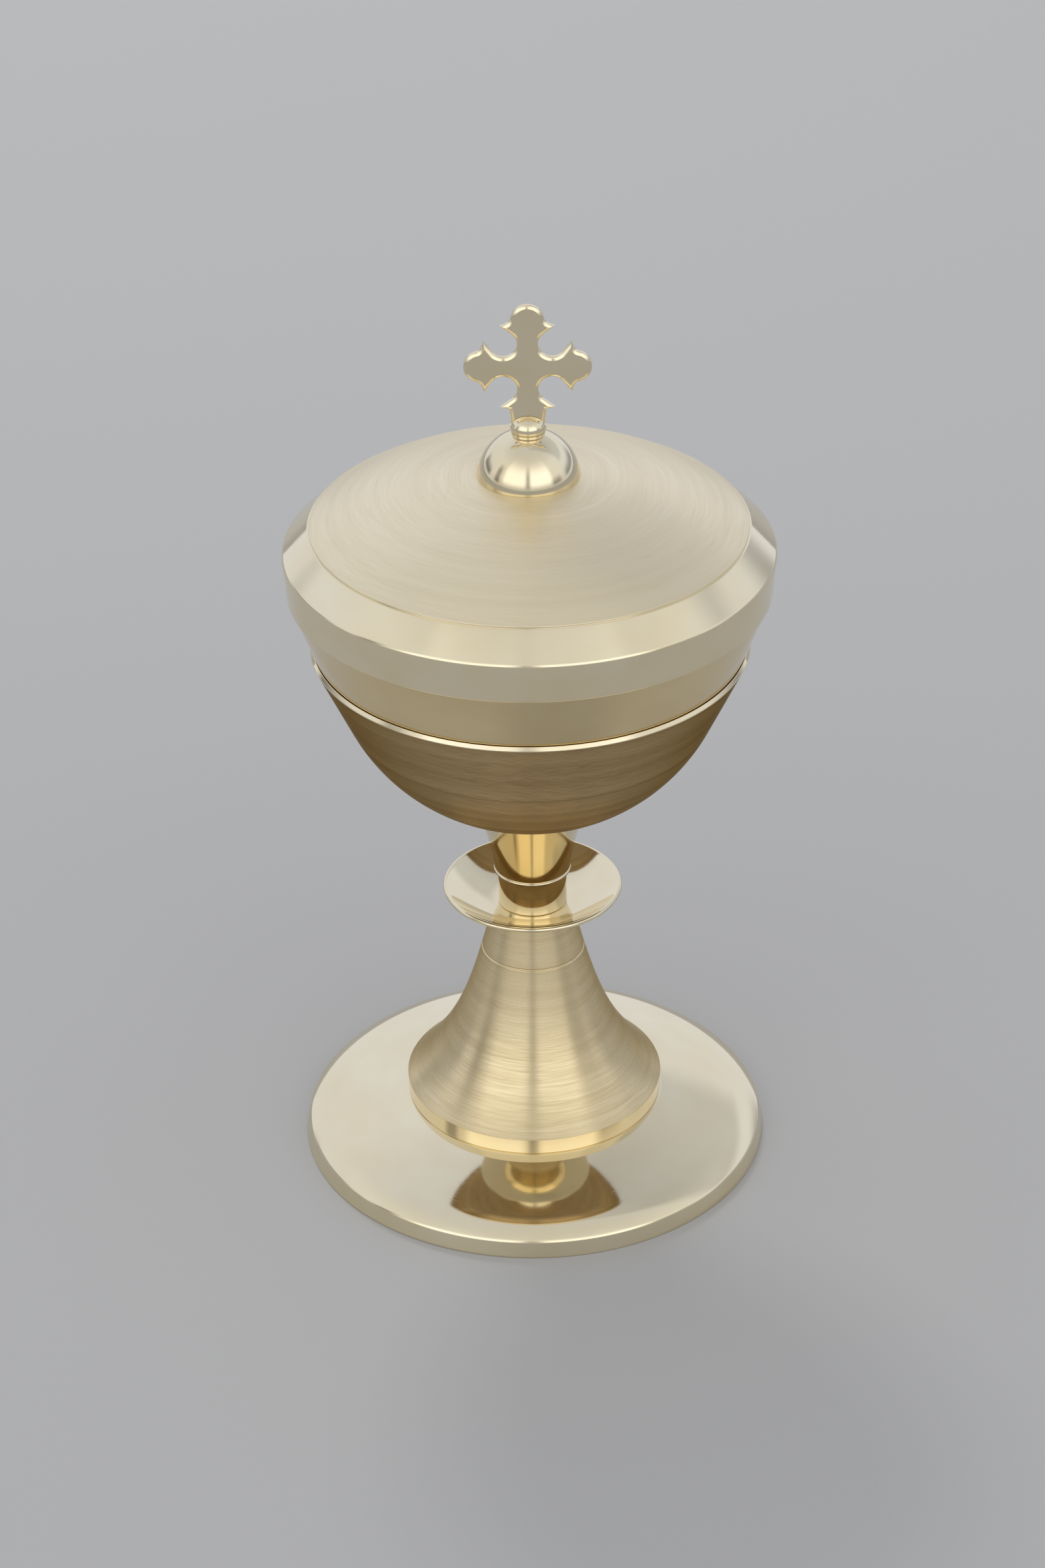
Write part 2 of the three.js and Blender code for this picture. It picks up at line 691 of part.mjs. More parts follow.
// Fasteners
function nut(name, across, height, rodRadius, bottom) {
  const corners = [];
  for (let i = 0; i < 6; i++) {
    const angle = (i * Math.PI) / 3;
    const reach = across / Math.sqrt(3) - FASTENER_EDGE;
    corners.push(point(reach * Math.cos(angle), reach * Math.sin(angle)));
  }
  const shape = new THREE.Shape(corners);
  const hole = new THREE.Path();
  hole.absarc(0, 0, rodRadius + THREAD_GAP + FASTENER_EDGE, 0, 2 * Math.PI, true);
  shape.holes.push(hole);
  const geometry = new THREE.ExtrudeGeometry(shape, {
    depth: height - 2 * FASTENER_EDGE,
    curveSegments: SMALL_STEPS / 2,
    bevelThickness: FASTENER_EDGE,
    bevelSize: FASTENER_EDGE,
    bevelSegments: 1,
  });
  geometry.translate(0, 0, bottom + FASTENER_EDGE);
  return named(name, geometry, plainBrass);
}

function rod(name, radius, bottom, top) {
  const profile = ringProfile(0, radius, bottom, top, FASTENER_EDGE);
  return turned(name, profile, plainBrass, SMALL_STEPS);
}

function washer(name, hole, radius, bottom, thickness) {
  const profile = ringProfile(hole, radius, bottom, bottom + thickness, FASTENER_EDGE);
  return turned(name, profile, plainBrass, SMALL_STEPS);
}

function footFasteners() {
  const washerFoot = seatHeight - FOOT_SHEET - ROD_WASHER_THICKNESS;
  const nutFoot = washerFoot - ROD_NUT_HEIGHT;
  return [
    washer("base_washer", rodBore, ROD_WASHER_RADIUS, washerFoot, ROD_WASHER_THICKNESS),
    nut("base_nut", ROD_NUT_ACROSS, ROD_NUT_HEIGHT, ROD_RADIUS, nutFoot),
    rod("tie_rod", ROD_RADIUS, nutFoot - ROD_TAIL, bossTop - 2 * SOLDER_GAP),
  ];
}

function lidFasteners() {
  const washerFoot = lidPad - LID_SHEET - STUD_WASHER_THICKNESS;
  const nutFoot = washerFoot - STUD_NUT_HEIGHT;
  return [
    washer("finial_washer", studBore, STUD_WASHER_RADIUS, washerFoot, STUD_WASHER_THICKNESS),
    nut("finial_nut", STUD_NUT_ACROSS, STUD_NUT_HEIGHT, STUD_RADIUS, nutFoot),
    rod("finial_stud", STUD_RADIUS, nutFoot - STUD_TAIL, studTop),
  ];
}

// The vessel stays on the table, and the lid with its finial lifts straight off
const vessel = new THREE.Group();
vessel.add(
  foot(),
  ...footFasteners(),
  bell(),
  saucer(),
  lowerCollar(),
  neck(),
  outerBowl(),
  cup(),
  cupBoss(),
);
const lid = new THREE.Group();
lid.add(lidCover(), locatingRing(), finialBoss(), bead(), cross(), ...lidFasteners());

const ciborium = new THREE.Group();
ciborium.add(vessel, lid);
export default ciborium;
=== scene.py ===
"""Ciborium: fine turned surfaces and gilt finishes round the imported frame.

Every piece but the nuts, the threads and the cross is turned: an outline of radius and height,
in millimetres, is carried round the upright axis. Each piece stands for the CAD node of its
name, rides on that node's body, and takes its heights from that node's box.
"""

import logging
import math
from collections.abc import Sequence
from dataclasses import dataclass, field
from enum import Enum

import bmesh
import bpy
import numpy as np
from mathutils import Matrix, Vector


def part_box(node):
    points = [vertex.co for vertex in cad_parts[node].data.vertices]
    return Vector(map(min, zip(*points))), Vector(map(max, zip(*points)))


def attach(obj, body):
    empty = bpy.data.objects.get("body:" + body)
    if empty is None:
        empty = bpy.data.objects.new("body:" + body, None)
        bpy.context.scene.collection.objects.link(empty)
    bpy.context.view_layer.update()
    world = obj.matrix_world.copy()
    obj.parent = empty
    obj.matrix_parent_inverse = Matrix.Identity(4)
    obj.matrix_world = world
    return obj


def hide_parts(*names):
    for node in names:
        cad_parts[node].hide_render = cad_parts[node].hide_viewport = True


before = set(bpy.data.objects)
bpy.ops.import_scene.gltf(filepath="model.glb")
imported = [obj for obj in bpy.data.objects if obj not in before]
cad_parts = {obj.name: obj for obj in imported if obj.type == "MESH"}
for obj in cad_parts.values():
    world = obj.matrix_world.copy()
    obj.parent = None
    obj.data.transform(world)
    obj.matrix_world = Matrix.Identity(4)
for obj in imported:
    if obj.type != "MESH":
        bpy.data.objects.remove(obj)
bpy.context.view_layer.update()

# Millimetres and degrees, but for MM, which is a millimetre in metres. Points nearer than TOUCH
# are one point. FIT is the play between two pieces, and the bores pass the rod and the stud.
# Most of a noise value lies in NOISE_SPAN.
MM = 0.001
TOUCH = 1e-6
AROUND = 256
AROUND_SMALL = 96
SHARP_ANGLE = 40.0
EASE_SHARE = 0.3
EASE_GUARD = 1.5
FIT = 0.1
ROD_BORE = 3.3
STUD_BORE = 2.3
NOISE_SPAN = (0.3, 0.7)
UNIT_SPAN = (0.0, 1.0)
LOG = logging.getLogger("ciborium")


class Body(Enum):
    """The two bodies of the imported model."""

    VESSEL = "vessel"
    LID = "lid"


class Slot(Enum):
    """The record's material slots."""

    POLISHED = "polished_gilt"
    BRUSHED = "brushed_gilt"
    PLAIN = "plain_brass"


class MarkAlong(Enum):
    """What the place of a ring mark is measured by."""

    RADIUS = "radius"
    HEIGHT = "height"


def levels(node: str) -> tuple[float, float]:
    """Height of the bottom and of the top of a CAD node, in millimetres."""
    low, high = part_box(node)
    return low.z / MM, high.z / MM


def reach(node: str) -> float:
    """Largest radius of a turned CAD node, in millimetres."""
    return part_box(node)[1].x / MM


def arc(centre: Sequence[float], radius: float, start: float, end: float, steps: int) -> np.ndarray:
    """Points on a circle: centre + radius * (cos a, sin a), with a running evenly from start to end.

    Args:
        centre: radius and height of the circle's middle.
        radius: radius of the circle.
        start: first angle in degrees, from the level outward direction.
        end: last angle in degrees.
        steps: number of equal steps between them.

    Returns:
        Array of shape (steps + 1, 2).
    """
    angle = np.radians(np.linspace(start, end, steps + 1))
    return np.column_stack((centre[0] + radius * np.cos(angle), centre[1] + radius * np.sin(angle)))


def offset(points: np.ndarray, distance: float) -> np.ndarray:
    """Moves an open outline sideways, to the right of its direction of travel.

    A point moves along the mean of the normals of its two stretches, by the distance divided by
    the cosine of half the angle between them, so that each stretch moves by the distance.

    Args:
        points: outline of shape (n, 2).
        distance: how far to move, negative for the left side.

    Returns:
        Array of the same shape.
    """
    along = np.diff(points, axis=0)
    along /= np.linalg.norm(along, axis=1, keepdims=True)
    normal = np.column_stack((along[:, 1], -along[:, 0]))
    before = np.vstack((normal[:1], normal))
    middle = before + np.vstack((normal, normal[-1:]))
    middle /= np.linalg.norm(middle, axis=1, keepdims=True)
    return points + middle * distance / np.sum(middle * before, axis=1, keepdims=True)


@dataclass
class Outline:
    """An outline in millimetres that is drawn stretch by stretch.

    finish holds, for each point, the number of the finish from that point to the next one.
    An outline that starts and ends on the axis is open, and any other closes on itself.
    """

    points: np.ndarray = field(default_factory=lambda: np.empty((0, 2)))
    finish: np.ndarray = field(default_factory=lambda: np.empty(0, int))

    def draw(self, points: Sequence, finish: int = 0) -> "Outline":
        """Adds a stretch of points that has one finish, and returns the outline."""
        run = np.atleast_2d(np.asarray(points, float))
        if len(self.points) and np.allclose(self.points[-1], run[0], atol=TOUCH):
            self.finish[-1] = finish
            run = run[1:]
        self.points = np.vstack((self.points, run))
        self.finish = np.concatenate((self.finish, np.full(len(run), finish)))
        return self

    @property
    def open(self) -> bool:
        """Whether the outline starts and ends on the axis."""
        return bool(max(self.points[0, 0], self.points[-1, 0]) < TOUCH)

    def outward(self) -> "Outline":
        """The outline in the direction that turns its faces outwards, anticlockwise by the area rule."""
        x, y = self.points.T
        if np.sum(x * np.roll(y, -1) - np.roll(x, -1) * y) > 0:
            return self
        return Outline(self.points[::-1].copy(), np.roll(self.finish[::-1], -1).copy())

    def eased(self, cut: float, steps: int = 4, least: float = 18.0) -> "Outline":
        """Rounds each true corner.

        A corner c becomes the curve (1-s)^2 a + 2 s (1-s) c + s^2 b, where a and b lie on its two
        sides at the distance cut, or nearer where a side is short. A further point on each side
        keeps the flat beyond the curve flat when the mesh is shaded smooth.

        Args:
            cut: distance from the corner at which the curve starts, in millimetres.
            steps: steps along the curve.
            least: smallest turn in degrees that counts as a corner.

        Returns:
            The rounded outline.
        """
        points = self.points
        before = np.roll(points, 1, axis=0) - points
        after = np.roll(points, -1, axis=0) - points
        length_before = np.linalg.norm(before, axis=1, keepdims=True)
        length_after = np.linalg.norm(after, axis=1, keepdims=True)
        before /= length_before
        after /= length_after
        corner = np.sum(before * after, axis=1) > -math.cos(math.radians(least))
        if self.open:
            corner[[0, -1]] = False
        side = np.minimum(cut, EASE_SHARE * np.minimum(length_before, length_after))
        s = np.linspace(0, 1, steps + 1)[None, :, None]
        start = (points + before * side)[:, None]
        end = (points + after * side)[:, None]
        curve = (1 - s) ** 2 * start + 2 * s * (1 - s) * points[:, None] + s**2 * end
        first = (points + before * side * EASE_GUARD)[:, None]
        last = (points + after * side * EASE_GUARD)[:, None]
        spread = np.concatenate((first, curve, last), axis=1)
        spread[~corner] = points[~corner, None]
        keep = np.ones(spread.shape[:2], bool)
        keep[~corner, 1:] = False
        return Outline(spread[keep], np.repeat(self.finish[:, None], steps + 3, axis=1)[keep])


def skin(
    name: str, points: np.ndarray, closed: bool, finish: np.ndarray, sharp: float = SHARP_ANGLE
) -> bpy.types.Mesh:
    """Mesh of a grid of points that goes once round the axis.

    Rows run along the outline and columns round the axis, anticlockwise from above. Each face
    joins a row to the next one. Where the outline is open, a point in the middle of the first
    row and one in the middle of the last row close the ends with fans. The UV map holds the
    share of the turn and the distance along the outline in metres.

    Args:
        name: name of the mesh.
        points: array of shape (rows, columns, 3) in millimetres.
        closed: whether the last row joins the first one.
        finish: finish number of the stretch after each row.
        sharp: angle between two faces from which their edge is sharp.

    Returns:
        The mesh, shaded smooth, with its faces outwards.
    """
    rows, columns = points.shape[:2]
    index = np.arange(rows * columns).reshape(rows, columns)
    above = np.roll(index, -1, axis=0)
    step = np.linalg.norm(np.roll(points, -1, axis=0) - points, axis=2).mean(axis=1)
    distance = np.concatenate(([0.0], np.cumsum(step))) * MM
    last = rows if closed else rows - 1
    quads = np.stack((index, np.roll(index, -1, 1), np.roll(above, -1, 1), above), axis=-1)[:last]
    turn = np.arange(columns + 1) / columns
    u = np.stack((turn[:-1], turn[1:], turn[1:], turn[:-1]), axis=-1)
    v = np.stack((distance[:-1], distance[:-1], distance[1:], distance[1:]), axis=-1)
    uv = np.empty((rows, columns, 4, 2))
    uv[..., 0] = u[None]
    uv[..., 1] = v[:, None]
    faces = quads.reshape(-1, 4).tolist()
    places = [uv[:last].reshape(-1, 2)]
    kinds = [np.repeat(finish[:last], columns)]
    vertices = points.reshape(-1, 3)
    if not closed:
        vertices = np.vstack((vertices, points[0].mean(axis=0), points[-1].mean(axis=0)))
        low = np.stack((np.full(columns, rows * columns), np.roll(index[0], -1), index[0]), axis=-1)
        high = np.stack((index[-1], np.roll(index[-1], -1), np.full(columns, rows * columns + 1)), axis=-1)
        faces += low.tolist() + high.tolist()
        middle = (turn[:-1] + turn[1:]) / 2
        for fan, height in (
            ((middle, turn[1:], turn[:-1]), distance[0]),
            ((turn[:-1], turn[1:], middle), distance[rows - 1]),
        ):
            place = np.stack(fan, axis=-1)[..., None]
            places.append(np.concatenate((place, np.full_like(place, height)), axis=-1).reshape(-1, 2))
        kinds += [np.full(columns, finish[0]), np.full(columns, finish[-2])]
    mesh = bpy.data.meshes.new(name)
    mesh.from_pydata((vertices * MM).tolist(), [], faces)
    mesh.uv_layers.new(name="outline").data.foreach_set("uv", np.concatenate(places).ravel())
    mesh.polygons.foreach_set("material_index", np.concatenate(kinds).astype(np.int32))
    mesh.polygons.foreach_set("use_smooth", np.ones(len(faces), bool))
    mesh.validate()
    mesh.set_sharp_from_angle(angle=math.radians(sharp))
    return mesh


def turned(name: str, outline: Outline, around: int = AROUND) -> bpy.types.Mesh:
    """Carries an outline round the axis: a point (r, z) goes to (r cos t, r sin t, z).

    Args:
        name: name of the mesh.
        outline: the outline to carry round.
        around: number of steps in a full turn.

    Returns:
        The closed mesh.
    """
    outline = outline.outward()
    inner = slice(1, -1) if outline.open else slice(None)
    radius, height = outline.points[inner].T
    turn = np.linspace(0, 2 * math.pi, around, endpoint=False)
    points = np.stack(
        (
            radius[:, None] * np.cos(turn),
            radius[:, None] * np.sin(turn),
            np.broadcast_to(height[:, None], (len(height), around)),
        ),
        axis=-1,
    )
    return skin(name, points, not outline.open, outline.finish[inner])
def tube(node: str, bore: float, cut: float, around: int = AROUND) -> bpy.types.Mesh:
    """Mesh of a plain bored ring that fills its CAD node's box, with its corners rounded by cut."""
    bottom, top = levels(node)
    outer = reach(node)
    outline = Outline().draw([(bore, bottom), (outer, bottom), (outer, top), (bore, top)])
    return turned(node, outline.eased(cut), around)


def add_object(name: str, data: bpy.types.ID) -> bpy.types.Object:
    """Makes an object of a mesh, a lamp or a camera, and links it to the scene."""
    made = bpy.data.objects.new(name, data)
    bpy.context.scene.collection.objects.link(made)
    return made
Value = float | tuple | bpy.types.NodeSocket


class Recipe:
    """A node tree, with short calls for the nodes that the finishes and the surround share."""

    def __init__(self, tree: bpy.types.NodeTree) -> None:
        """Keeps the tree's nodes and links."""
        self.nodes = tree.nodes
        self.links = tree.links

    def put(self, socket: bpy.types.NodeSocket, value: Value) -> None:
        """Links a socket to another one, or sets its number or colour."""
        if isinstance(value, bpy.types.NodeSocket):
            self.links.new(value, socket)
        else:
            socket.default_value = value

    def add(self, kind: str, inputs: dict | None = None, **settings: object) -> bpy.types.Node:
        """Adds a node.

        Args:
            kind: Blender's name of the node's type.
            inputs: values or sockets by input name or number.
            settings: the node's own properties.

        Returns:
            The node.
        """
        node = self.nodes.new(kind)
        for key, value in settings.items():
            setattr(node, key, value)
        for key, value in (inputs or {}).items():
            self.put(node.inputs[key], value)
        return node

    def math(self, operation: str, *values: Value) -> bpy.types.NodeSocket:
        """Result of a Math node on one to three values."""
        return self.add("ShaderNodeMath", dict(enumerate(values)), operation=operation).outputs[0]

    def weighed(self, value: Value, weight: Value, base: Value) -> bpy.types.NodeSocket:
        """value * weight + base."""
        return self.math("MULTIPLY_ADD", value, weight, base)

    def ranged(
        self, value: Value, source: tuple, target: tuple = UNIT_SPAN, soft: bool = False
    ) -> bpy.types.NodeSocket:
        """A value carried from one range to another and held inside it, evenly or with soft ends."""
        inputs = {0: value, 1: source[0], 2: source[1], 3: target[0], 4: target[1]}
        kind = "SMOOTHSTEP" if soft else "LINEAR"
        return self.add("ShaderNodeMapRange", inputs, interpolation_type=kind).outputs[0]

    def tinted(self, share: Value, first: tuple, second: tuple) -> bpy.types.NodeSocket:
        """Colour between two colours."""
        inputs = {0: share, 6: (*first, 1), 7: (*second, 1)}
        return self.add("ShaderNodeMix", inputs, data_type="RGBA").outputs[2]


@dataclass(frozen=True)
class Streaks:
    """A pattern of streaks round the axis, as a brush leaves them.

    skew is how far a line strays from the round direction, detail is the noise's octaves, and
    shift moves the pattern, so that two of them differ.
    """

    length: float
    width: float
    skew: float = 0.0
    detail: float = 2.0
    shift: float = 0.0


class Surface(Recipe):
    """The node tree of a material, with the patterns that brushes and tools leave."""

    WAVES_ROUND = 3.0
    NOISE_ROUGHNESS = 0.6
    QUARTER_TURN = 0.25

    def __init__(self, name: str) -> None:
        """Starts a material that holds only its shader."""
        self.material = bpy.data.materials.new(name)
        self.material.use_nodes = True
        super().__init__(self.material.node_tree)
        self.shader = self.nodes["Principled BSDF"]

    def fixed(self, **values: float | tuple) -> None:
        """Sets inputs of the shader that stay the same all over, named with _ for a space."""
        for name, value in values.items():
            self.shader.inputs[name.replace("_", " ")].default_value = value

    def place(self) -> tuple[bpy.types.NodeSocket, bpy.types.NodeSocket, bpy.types.NodeSocket]:
        """The shaded point's x, y and z in millimetres, from Object coordinates."""
        where = self.add("ShaderNodeTexCoord").outputs["Object"]
        scaled = self.add("ShaderNodeVectorMath", {0: where, 3: 1 / MM}, operation="SCALE").outputs[0]
        split = self.add("ShaderNodeSeparateXYZ", {0: scaled})
        return split.outputs[0], split.outputs[1], split.outputs[2]

    def along(self) -> bpy.types.NodeSocket:
        """Distance along the outline in millimetres, from the UV map."""
        split = self.add("ShaderNodeSeparateXYZ", {0: self.add("ShaderNodeUVMap").outputs[0]})
        return self.math("MULTIPLY", split.outputs[1], 1 / MM)

    def streaks(self, pattern: Streaks) -> bpy.types.NodeSocket:
        """Draws a pattern, as a value between about 0.2 and 0.8 with its middle at 0.5.

        The noise is read at (x / length, y / length, d / width), where d is the distance along
        the outline plus skew * cos(3 * turn), which lets the lines cross the round direction.
        """
        x, y, _ = self.place()
        turn = self.math("MULTIPLY", self.math("ARCTAN2", y, x), self.WAVES_ROUND)
        strayed = self.weighed(self.math("COSINE", turn), pattern.skew, self.along())
        parts = {
            0: self.weighed(x, 1 / pattern.length, pattern.shift),
            1: self.math("DIVIDE", y, pattern.length),
            2: self.math("DIVIDE", strayed, pattern.width),
        }
        vector = self.add("ShaderNodeCombineXYZ", parts).outputs[0]
        inputs = {"Vector": vector, "Scale": 1.0, "Detail": pattern.detail, "Roughness": self.NOISE_ROUGHNESS}
        return self.add("ShaderNodeTexNoise", inputs).outputs[0]

    def coloured(self, tone: Value, shade: tuple, colour: tuple) -> None:
        """Gives the shader a colour between two, by a tone from 0 to 1."""
        self.put(self.shader.inputs["Base Color"], self.tinted(tone, shade, colour))

    def roughened(self, pattern: Value, source: tuple, target: tuple) -> None:
        """Gives the shader a roughness that follows a pattern."""
        self.put(self.shader.inputs["Roughness"], self.ranged(pattern, source, target))

    def bumped(self, height: Value, depth: float, strength: float = 0.5) -> None:
        """Gives the shader a relief of a height value that spans depth millimetres."""
        inputs = {"Height": height, "Distance": depth * MM, "Strength": strength}
        self.put(self.shader.inputs["Normal"], self.add("ShaderNodeBump", inputs).outputs[0])

    def metal(self, anisotropy: float) -> None:
        """Makes the shader a metal whose highlights are drawn out across the round direction."""
        self.fixed(Metallic=1.0)
        if anisotropy:
            self.fixed(Anisotropic=anisotropy, Anisotropic_Rotation=self.QUARTER_TURN)
            tangent = self.add("ShaderNodeTangent", direction_type="RADIAL", axis="Z").outputs[0]
            self.put(self.shader.inputs["Tangent"], tangent)


@dataclass(frozen=True)
class RingMark:
    """A faint ring of another tone, left by the tool."""

    at: float
    half_width: float
    tone: float
    along: MarkAlong = MarkAlong.HEIGHT


@dataclass(frozen=True)
class Brushed:
    """Gilt that was brushed round the axis: fine hairlines, broad tool bands and faint rings.

    edge is the tint of the metal's reflection where it is seen from the side; set below white, it is painted
    shade on the sides of a piece. scratch_span is the part of the noise that shows as scratches. The tones
    say how much each pattern lightens the colour.
    """

    name: str
    colour: tuple[float, float, float] = (0.81, 0.71, 0.49)
    shade: tuple[float, float, float] = (0.62, 0.52, 0.33)
    edge: tuple[float, float, float] = (1.0, 1.0, 1.0)
    roughness: float = 0.36
    spread: float = 0.10
    anisotropy: float = 0.72
    line_length: float = 9.0
    line_width: float = 0.22
    skew: float = 1.2
    relief: float = 0.012
    strength: float = 0.6
    bands: Streaks = Streaks(length=400.0, width=2.6, detail=3.0, shift=1.7)
    scratch_span: tuple[float, float] = (0.64, 0.74)
    scratch_depth: float = -0.5
    base_tone: float = 0.15
    hair_tone: float = 0.55
    band_tone: float = 0.35
    scratch_tone: float = -0.35
    marks: tuple[RingMark, ...] = ()

    def lines(self, length: float = 1.0, width: float = 1.0, skew: float = 1.0, **more: float) -> Streaks:
        """Hairlines whose length, width and skew are shares of the finish's own."""
        return Streaks(self.line_length * length, self.line_width * width, self.skew * skew, **more)

    def material(self) -> bpy.types.Material:
        """Builds the material."""
        recipe = Surface(self.name)
        recipe.metal(self.anisotropy)
        # The edge tint darkens the reflection towards the sides: painted shade wherever it is below white.
        recipe.fixed(Specular_Tint=(*self.edge, 1))
        fine = recipe.streaks(self.lines(detail=3.0))
        crossing = recipe.streaks(self.lines(length=1.6, width=1.7, skew=-1.0, shift=7.3))
        scratches = recipe.streaks(self.lines(length=0.9, width=1.2, skew=2.5, shift=3.1))
        hairs = recipe.math("MULTIPLY", recipe.math("ADD", fine, crossing), 0.5)
        deep = recipe.ranged(scratches, self.scratch_span)
        tone = recipe.weighed(recipe.ranged(hairs, NOISE_SPAN), self.hair_tone, self.base_tone)
        tone = recipe.weighed(recipe.ranged(recipe.streaks(self.bands), NOISE_SPAN), self.band_tone, tone)
        tone = recipe.weighed(deep, self.scratch_tone, tone)
        x, y, z = recipe.place()
        flat = recipe.math("SQRT", recipe.weighed(x, x, recipe.math("MULTIPLY", y, y)))
        for mark in self.marks:
            where = flat if mark.along is MarkAlong.RADIUS else z
            off = recipe.math("ABSOLUTE", recipe.math("SUBTRACT", where, mark.at))
            share = recipe.ranged(off, (0.0, mark.half_width), (1.0, 0.0), soft=True)
            tone = recipe.weighed(share, mark.tone, tone)
        recipe.coloured(tone, self.shade, self.colour)
        recipe.roughened(hairs, NOISE_SPAN, (self.roughness + self.spread, self.roughness - self.spread))
        recipe.bumped(recipe.weighed(deep, self.scratch_depth, hairs), self.relief, self.strength)
        return recipe.material


@dataclass(frozen=True)
class Polished:
    """Gilt polished to a mirror, with the faint waves and rings that a buffing wheel leaves."""

    name: str
    colour: tuple[float, float, float] = (0.87, 0.78, 0.57)
    shade: tuple[float, float, float] = (0.84, 0.73, 0.50)
    roughness: float = 0.05
    relief: float = 0.004
    anisotropy: float = 0.0
    waves: Streaks = Streaks(length=14.0, width=5.0, detail=1.0)
    buffing: Streaks = Streaks(length=18.0, width=0.35, skew=0.8, shift=2.2)
    cloud: Streaks = Streaks(length=22.0, width=16.0, shift=5.9)
    buffed_span: tuple[float, float] = (0.35, 0.75)

    def material(self) -> bpy.types.Material:
        """Builds the material."""
        recipe = Surface(self.name)
        recipe.metal(self.anisotropy)
        recipe.coloured(recipe.ranged(recipe.streaks(self.cloud), NOISE_SPAN), self.shade, self.colour)
        rough = (self.roughness, 2 * self.roughness)
        recipe.roughened(recipe.streaks(self.buffing), self.buffed_span, rough)
        recipe.bumped(recipe.streaks(self.waves), self.relief)
        return recipe.material


@dataclass(frozen=True)
class Machined:
    """Plain brass from the lathe, with close tool rings, darker where it was never polished."""

    name: str
    colour: tuple[float, float, float] = (0.74, 0.55, 0.27)
    shade: tuple[float, float, float] = (0.50, 0.35, 0.16)
    rough_span: tuple[float, float] = (0.22, 0.42)
    tone_span: tuple[float, float] = (0.1, 1.0)
    anisotropy: float = 0.45
    relief: float = 0.02
    rings: Streaks = Streaks(length=60.0, width=0.25)
    patina: Streaks = Streaks(length=7.0, width=5.0, detail=4.0, shift=4.4)

    def material(self) -> bpy.types.Material:
        """Builds the material."""
        recipe = Surface(self.name)
        recipe.metal(self.anisotropy)
        rings = recipe.streaks(self.rings)
        tone = recipe.ranged(recipe.streaks(self.patina), NOISE_SPAN, self.tone_span)
        recipe.coloured(tone, self.shade, self.colour)
        recipe.roughened(rings, NOISE_SPAN, self.rough_span)
        recipe.bumped(rings, self.relief)
        return recipe.material


@dataclass(frozen=True)
class Finishes:
    """The materials that the sub-assemblies share."""

    polished: bpy.types.Material
    cup_gilt: bpy.types.Material
    bowl_brushed: bpy.types.Material
    bell_brushed: bpy.types.Material
    dome_brushed: bpy.types.Material
    lining: bpy.types.Material
    machined: bpy.types.Material

    @classmethod
    def make(cls) -> "Finishes":
        """Builds all finishes."""
        ring = MarkAlong.RADIUS
        return cls(
            polished=Polished("polished_gilt").material(),
            # The cup's gilt is deeper than the polished gilt: painted shade that makes the cup band darker
            # than the lid band.
            cup_gilt=Polished("cup_gilt", colour=(0.80, 0.66, 0.40), shade=(0.76, 0.61, 0.35)).material(),
            bowl_brushed=Brushed(
                "bowl_brushed_gilt",
                # The bowl's colour and shade are darker than the other brushed gilt: painted shade standing
                # in for the dark surroundings that its downward face mirrors.
                colour=(0.62, 0.47, 0.27),
                shade=(0.30, 0.20, 0.10),
                line_length=5.0,
                line_width=0.26,
                skew=5.0,
                relief=0.018,
                # This dark edge tint is painted shade on the bowl's sides.
                edge=(0.28, 0.21, 0.13),
                marks=(RingMark(104.5, 0.5, 0.35), RingMark(117.0, 0.5, -0.3), RingMark(122.0, 0.4, -0.2)),
            ).material(),
            bell_brushed=Brushed(
                "bell_brushed_gilt",
                colour=(0.85, 0.72, 0.46),
                shade=(0.60, 0.47, 0.26),
                roughness=0.28,
                spread=0.08,
                anisotropy=0.85,
                skew=0.3,
                relief=0.004,
                # The edge tint is darker than the metal's own: painted shade on the bell's sides.
                edge=(0.62, 0.54, 0.40),
            ).material(),
            dome_brushed=Brushed(
                "dome_brushed_gilt",
                colour=(0.92, 0.81, 0.58),
                shade=(0.80, 0.69, 0.46),
                line_length=12.0,
                skew=1.8,
                relief=0.008,
                marks=(RingMark(20.0, 0.8, 0.3, ring), RingMark(31.0, 0.7, 0.2, ring)),
            ).material(),
            lining=Polished("cup_lining_gilt", roughness=0.11, anisotropy=0.35).material(),
            machined=Machined("machined_brass").material(),
        )


@dataclass(frozen=True)
class Piece:
    """One finished piece: the CAD node it stands for, its body, its slot and its materials."""

    node: str
    body: Body
    slot: Slot
    materials: tuple[bpy.types.Material, ...]

    def place(self, mesh: bpy.types.Mesh) -> None:
        """Puts the mesh into the scene as the piece, and reports it."""
        for material in self.materials:
            mesh.materials.append(material)
        made = add_object(self.node + "_fine", mesh)
        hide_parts(self.node)
        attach(made, self.body.value)
        LOG.info("%s: %d faces on body %s", made.name, len(mesh.polygons), self.body.value)


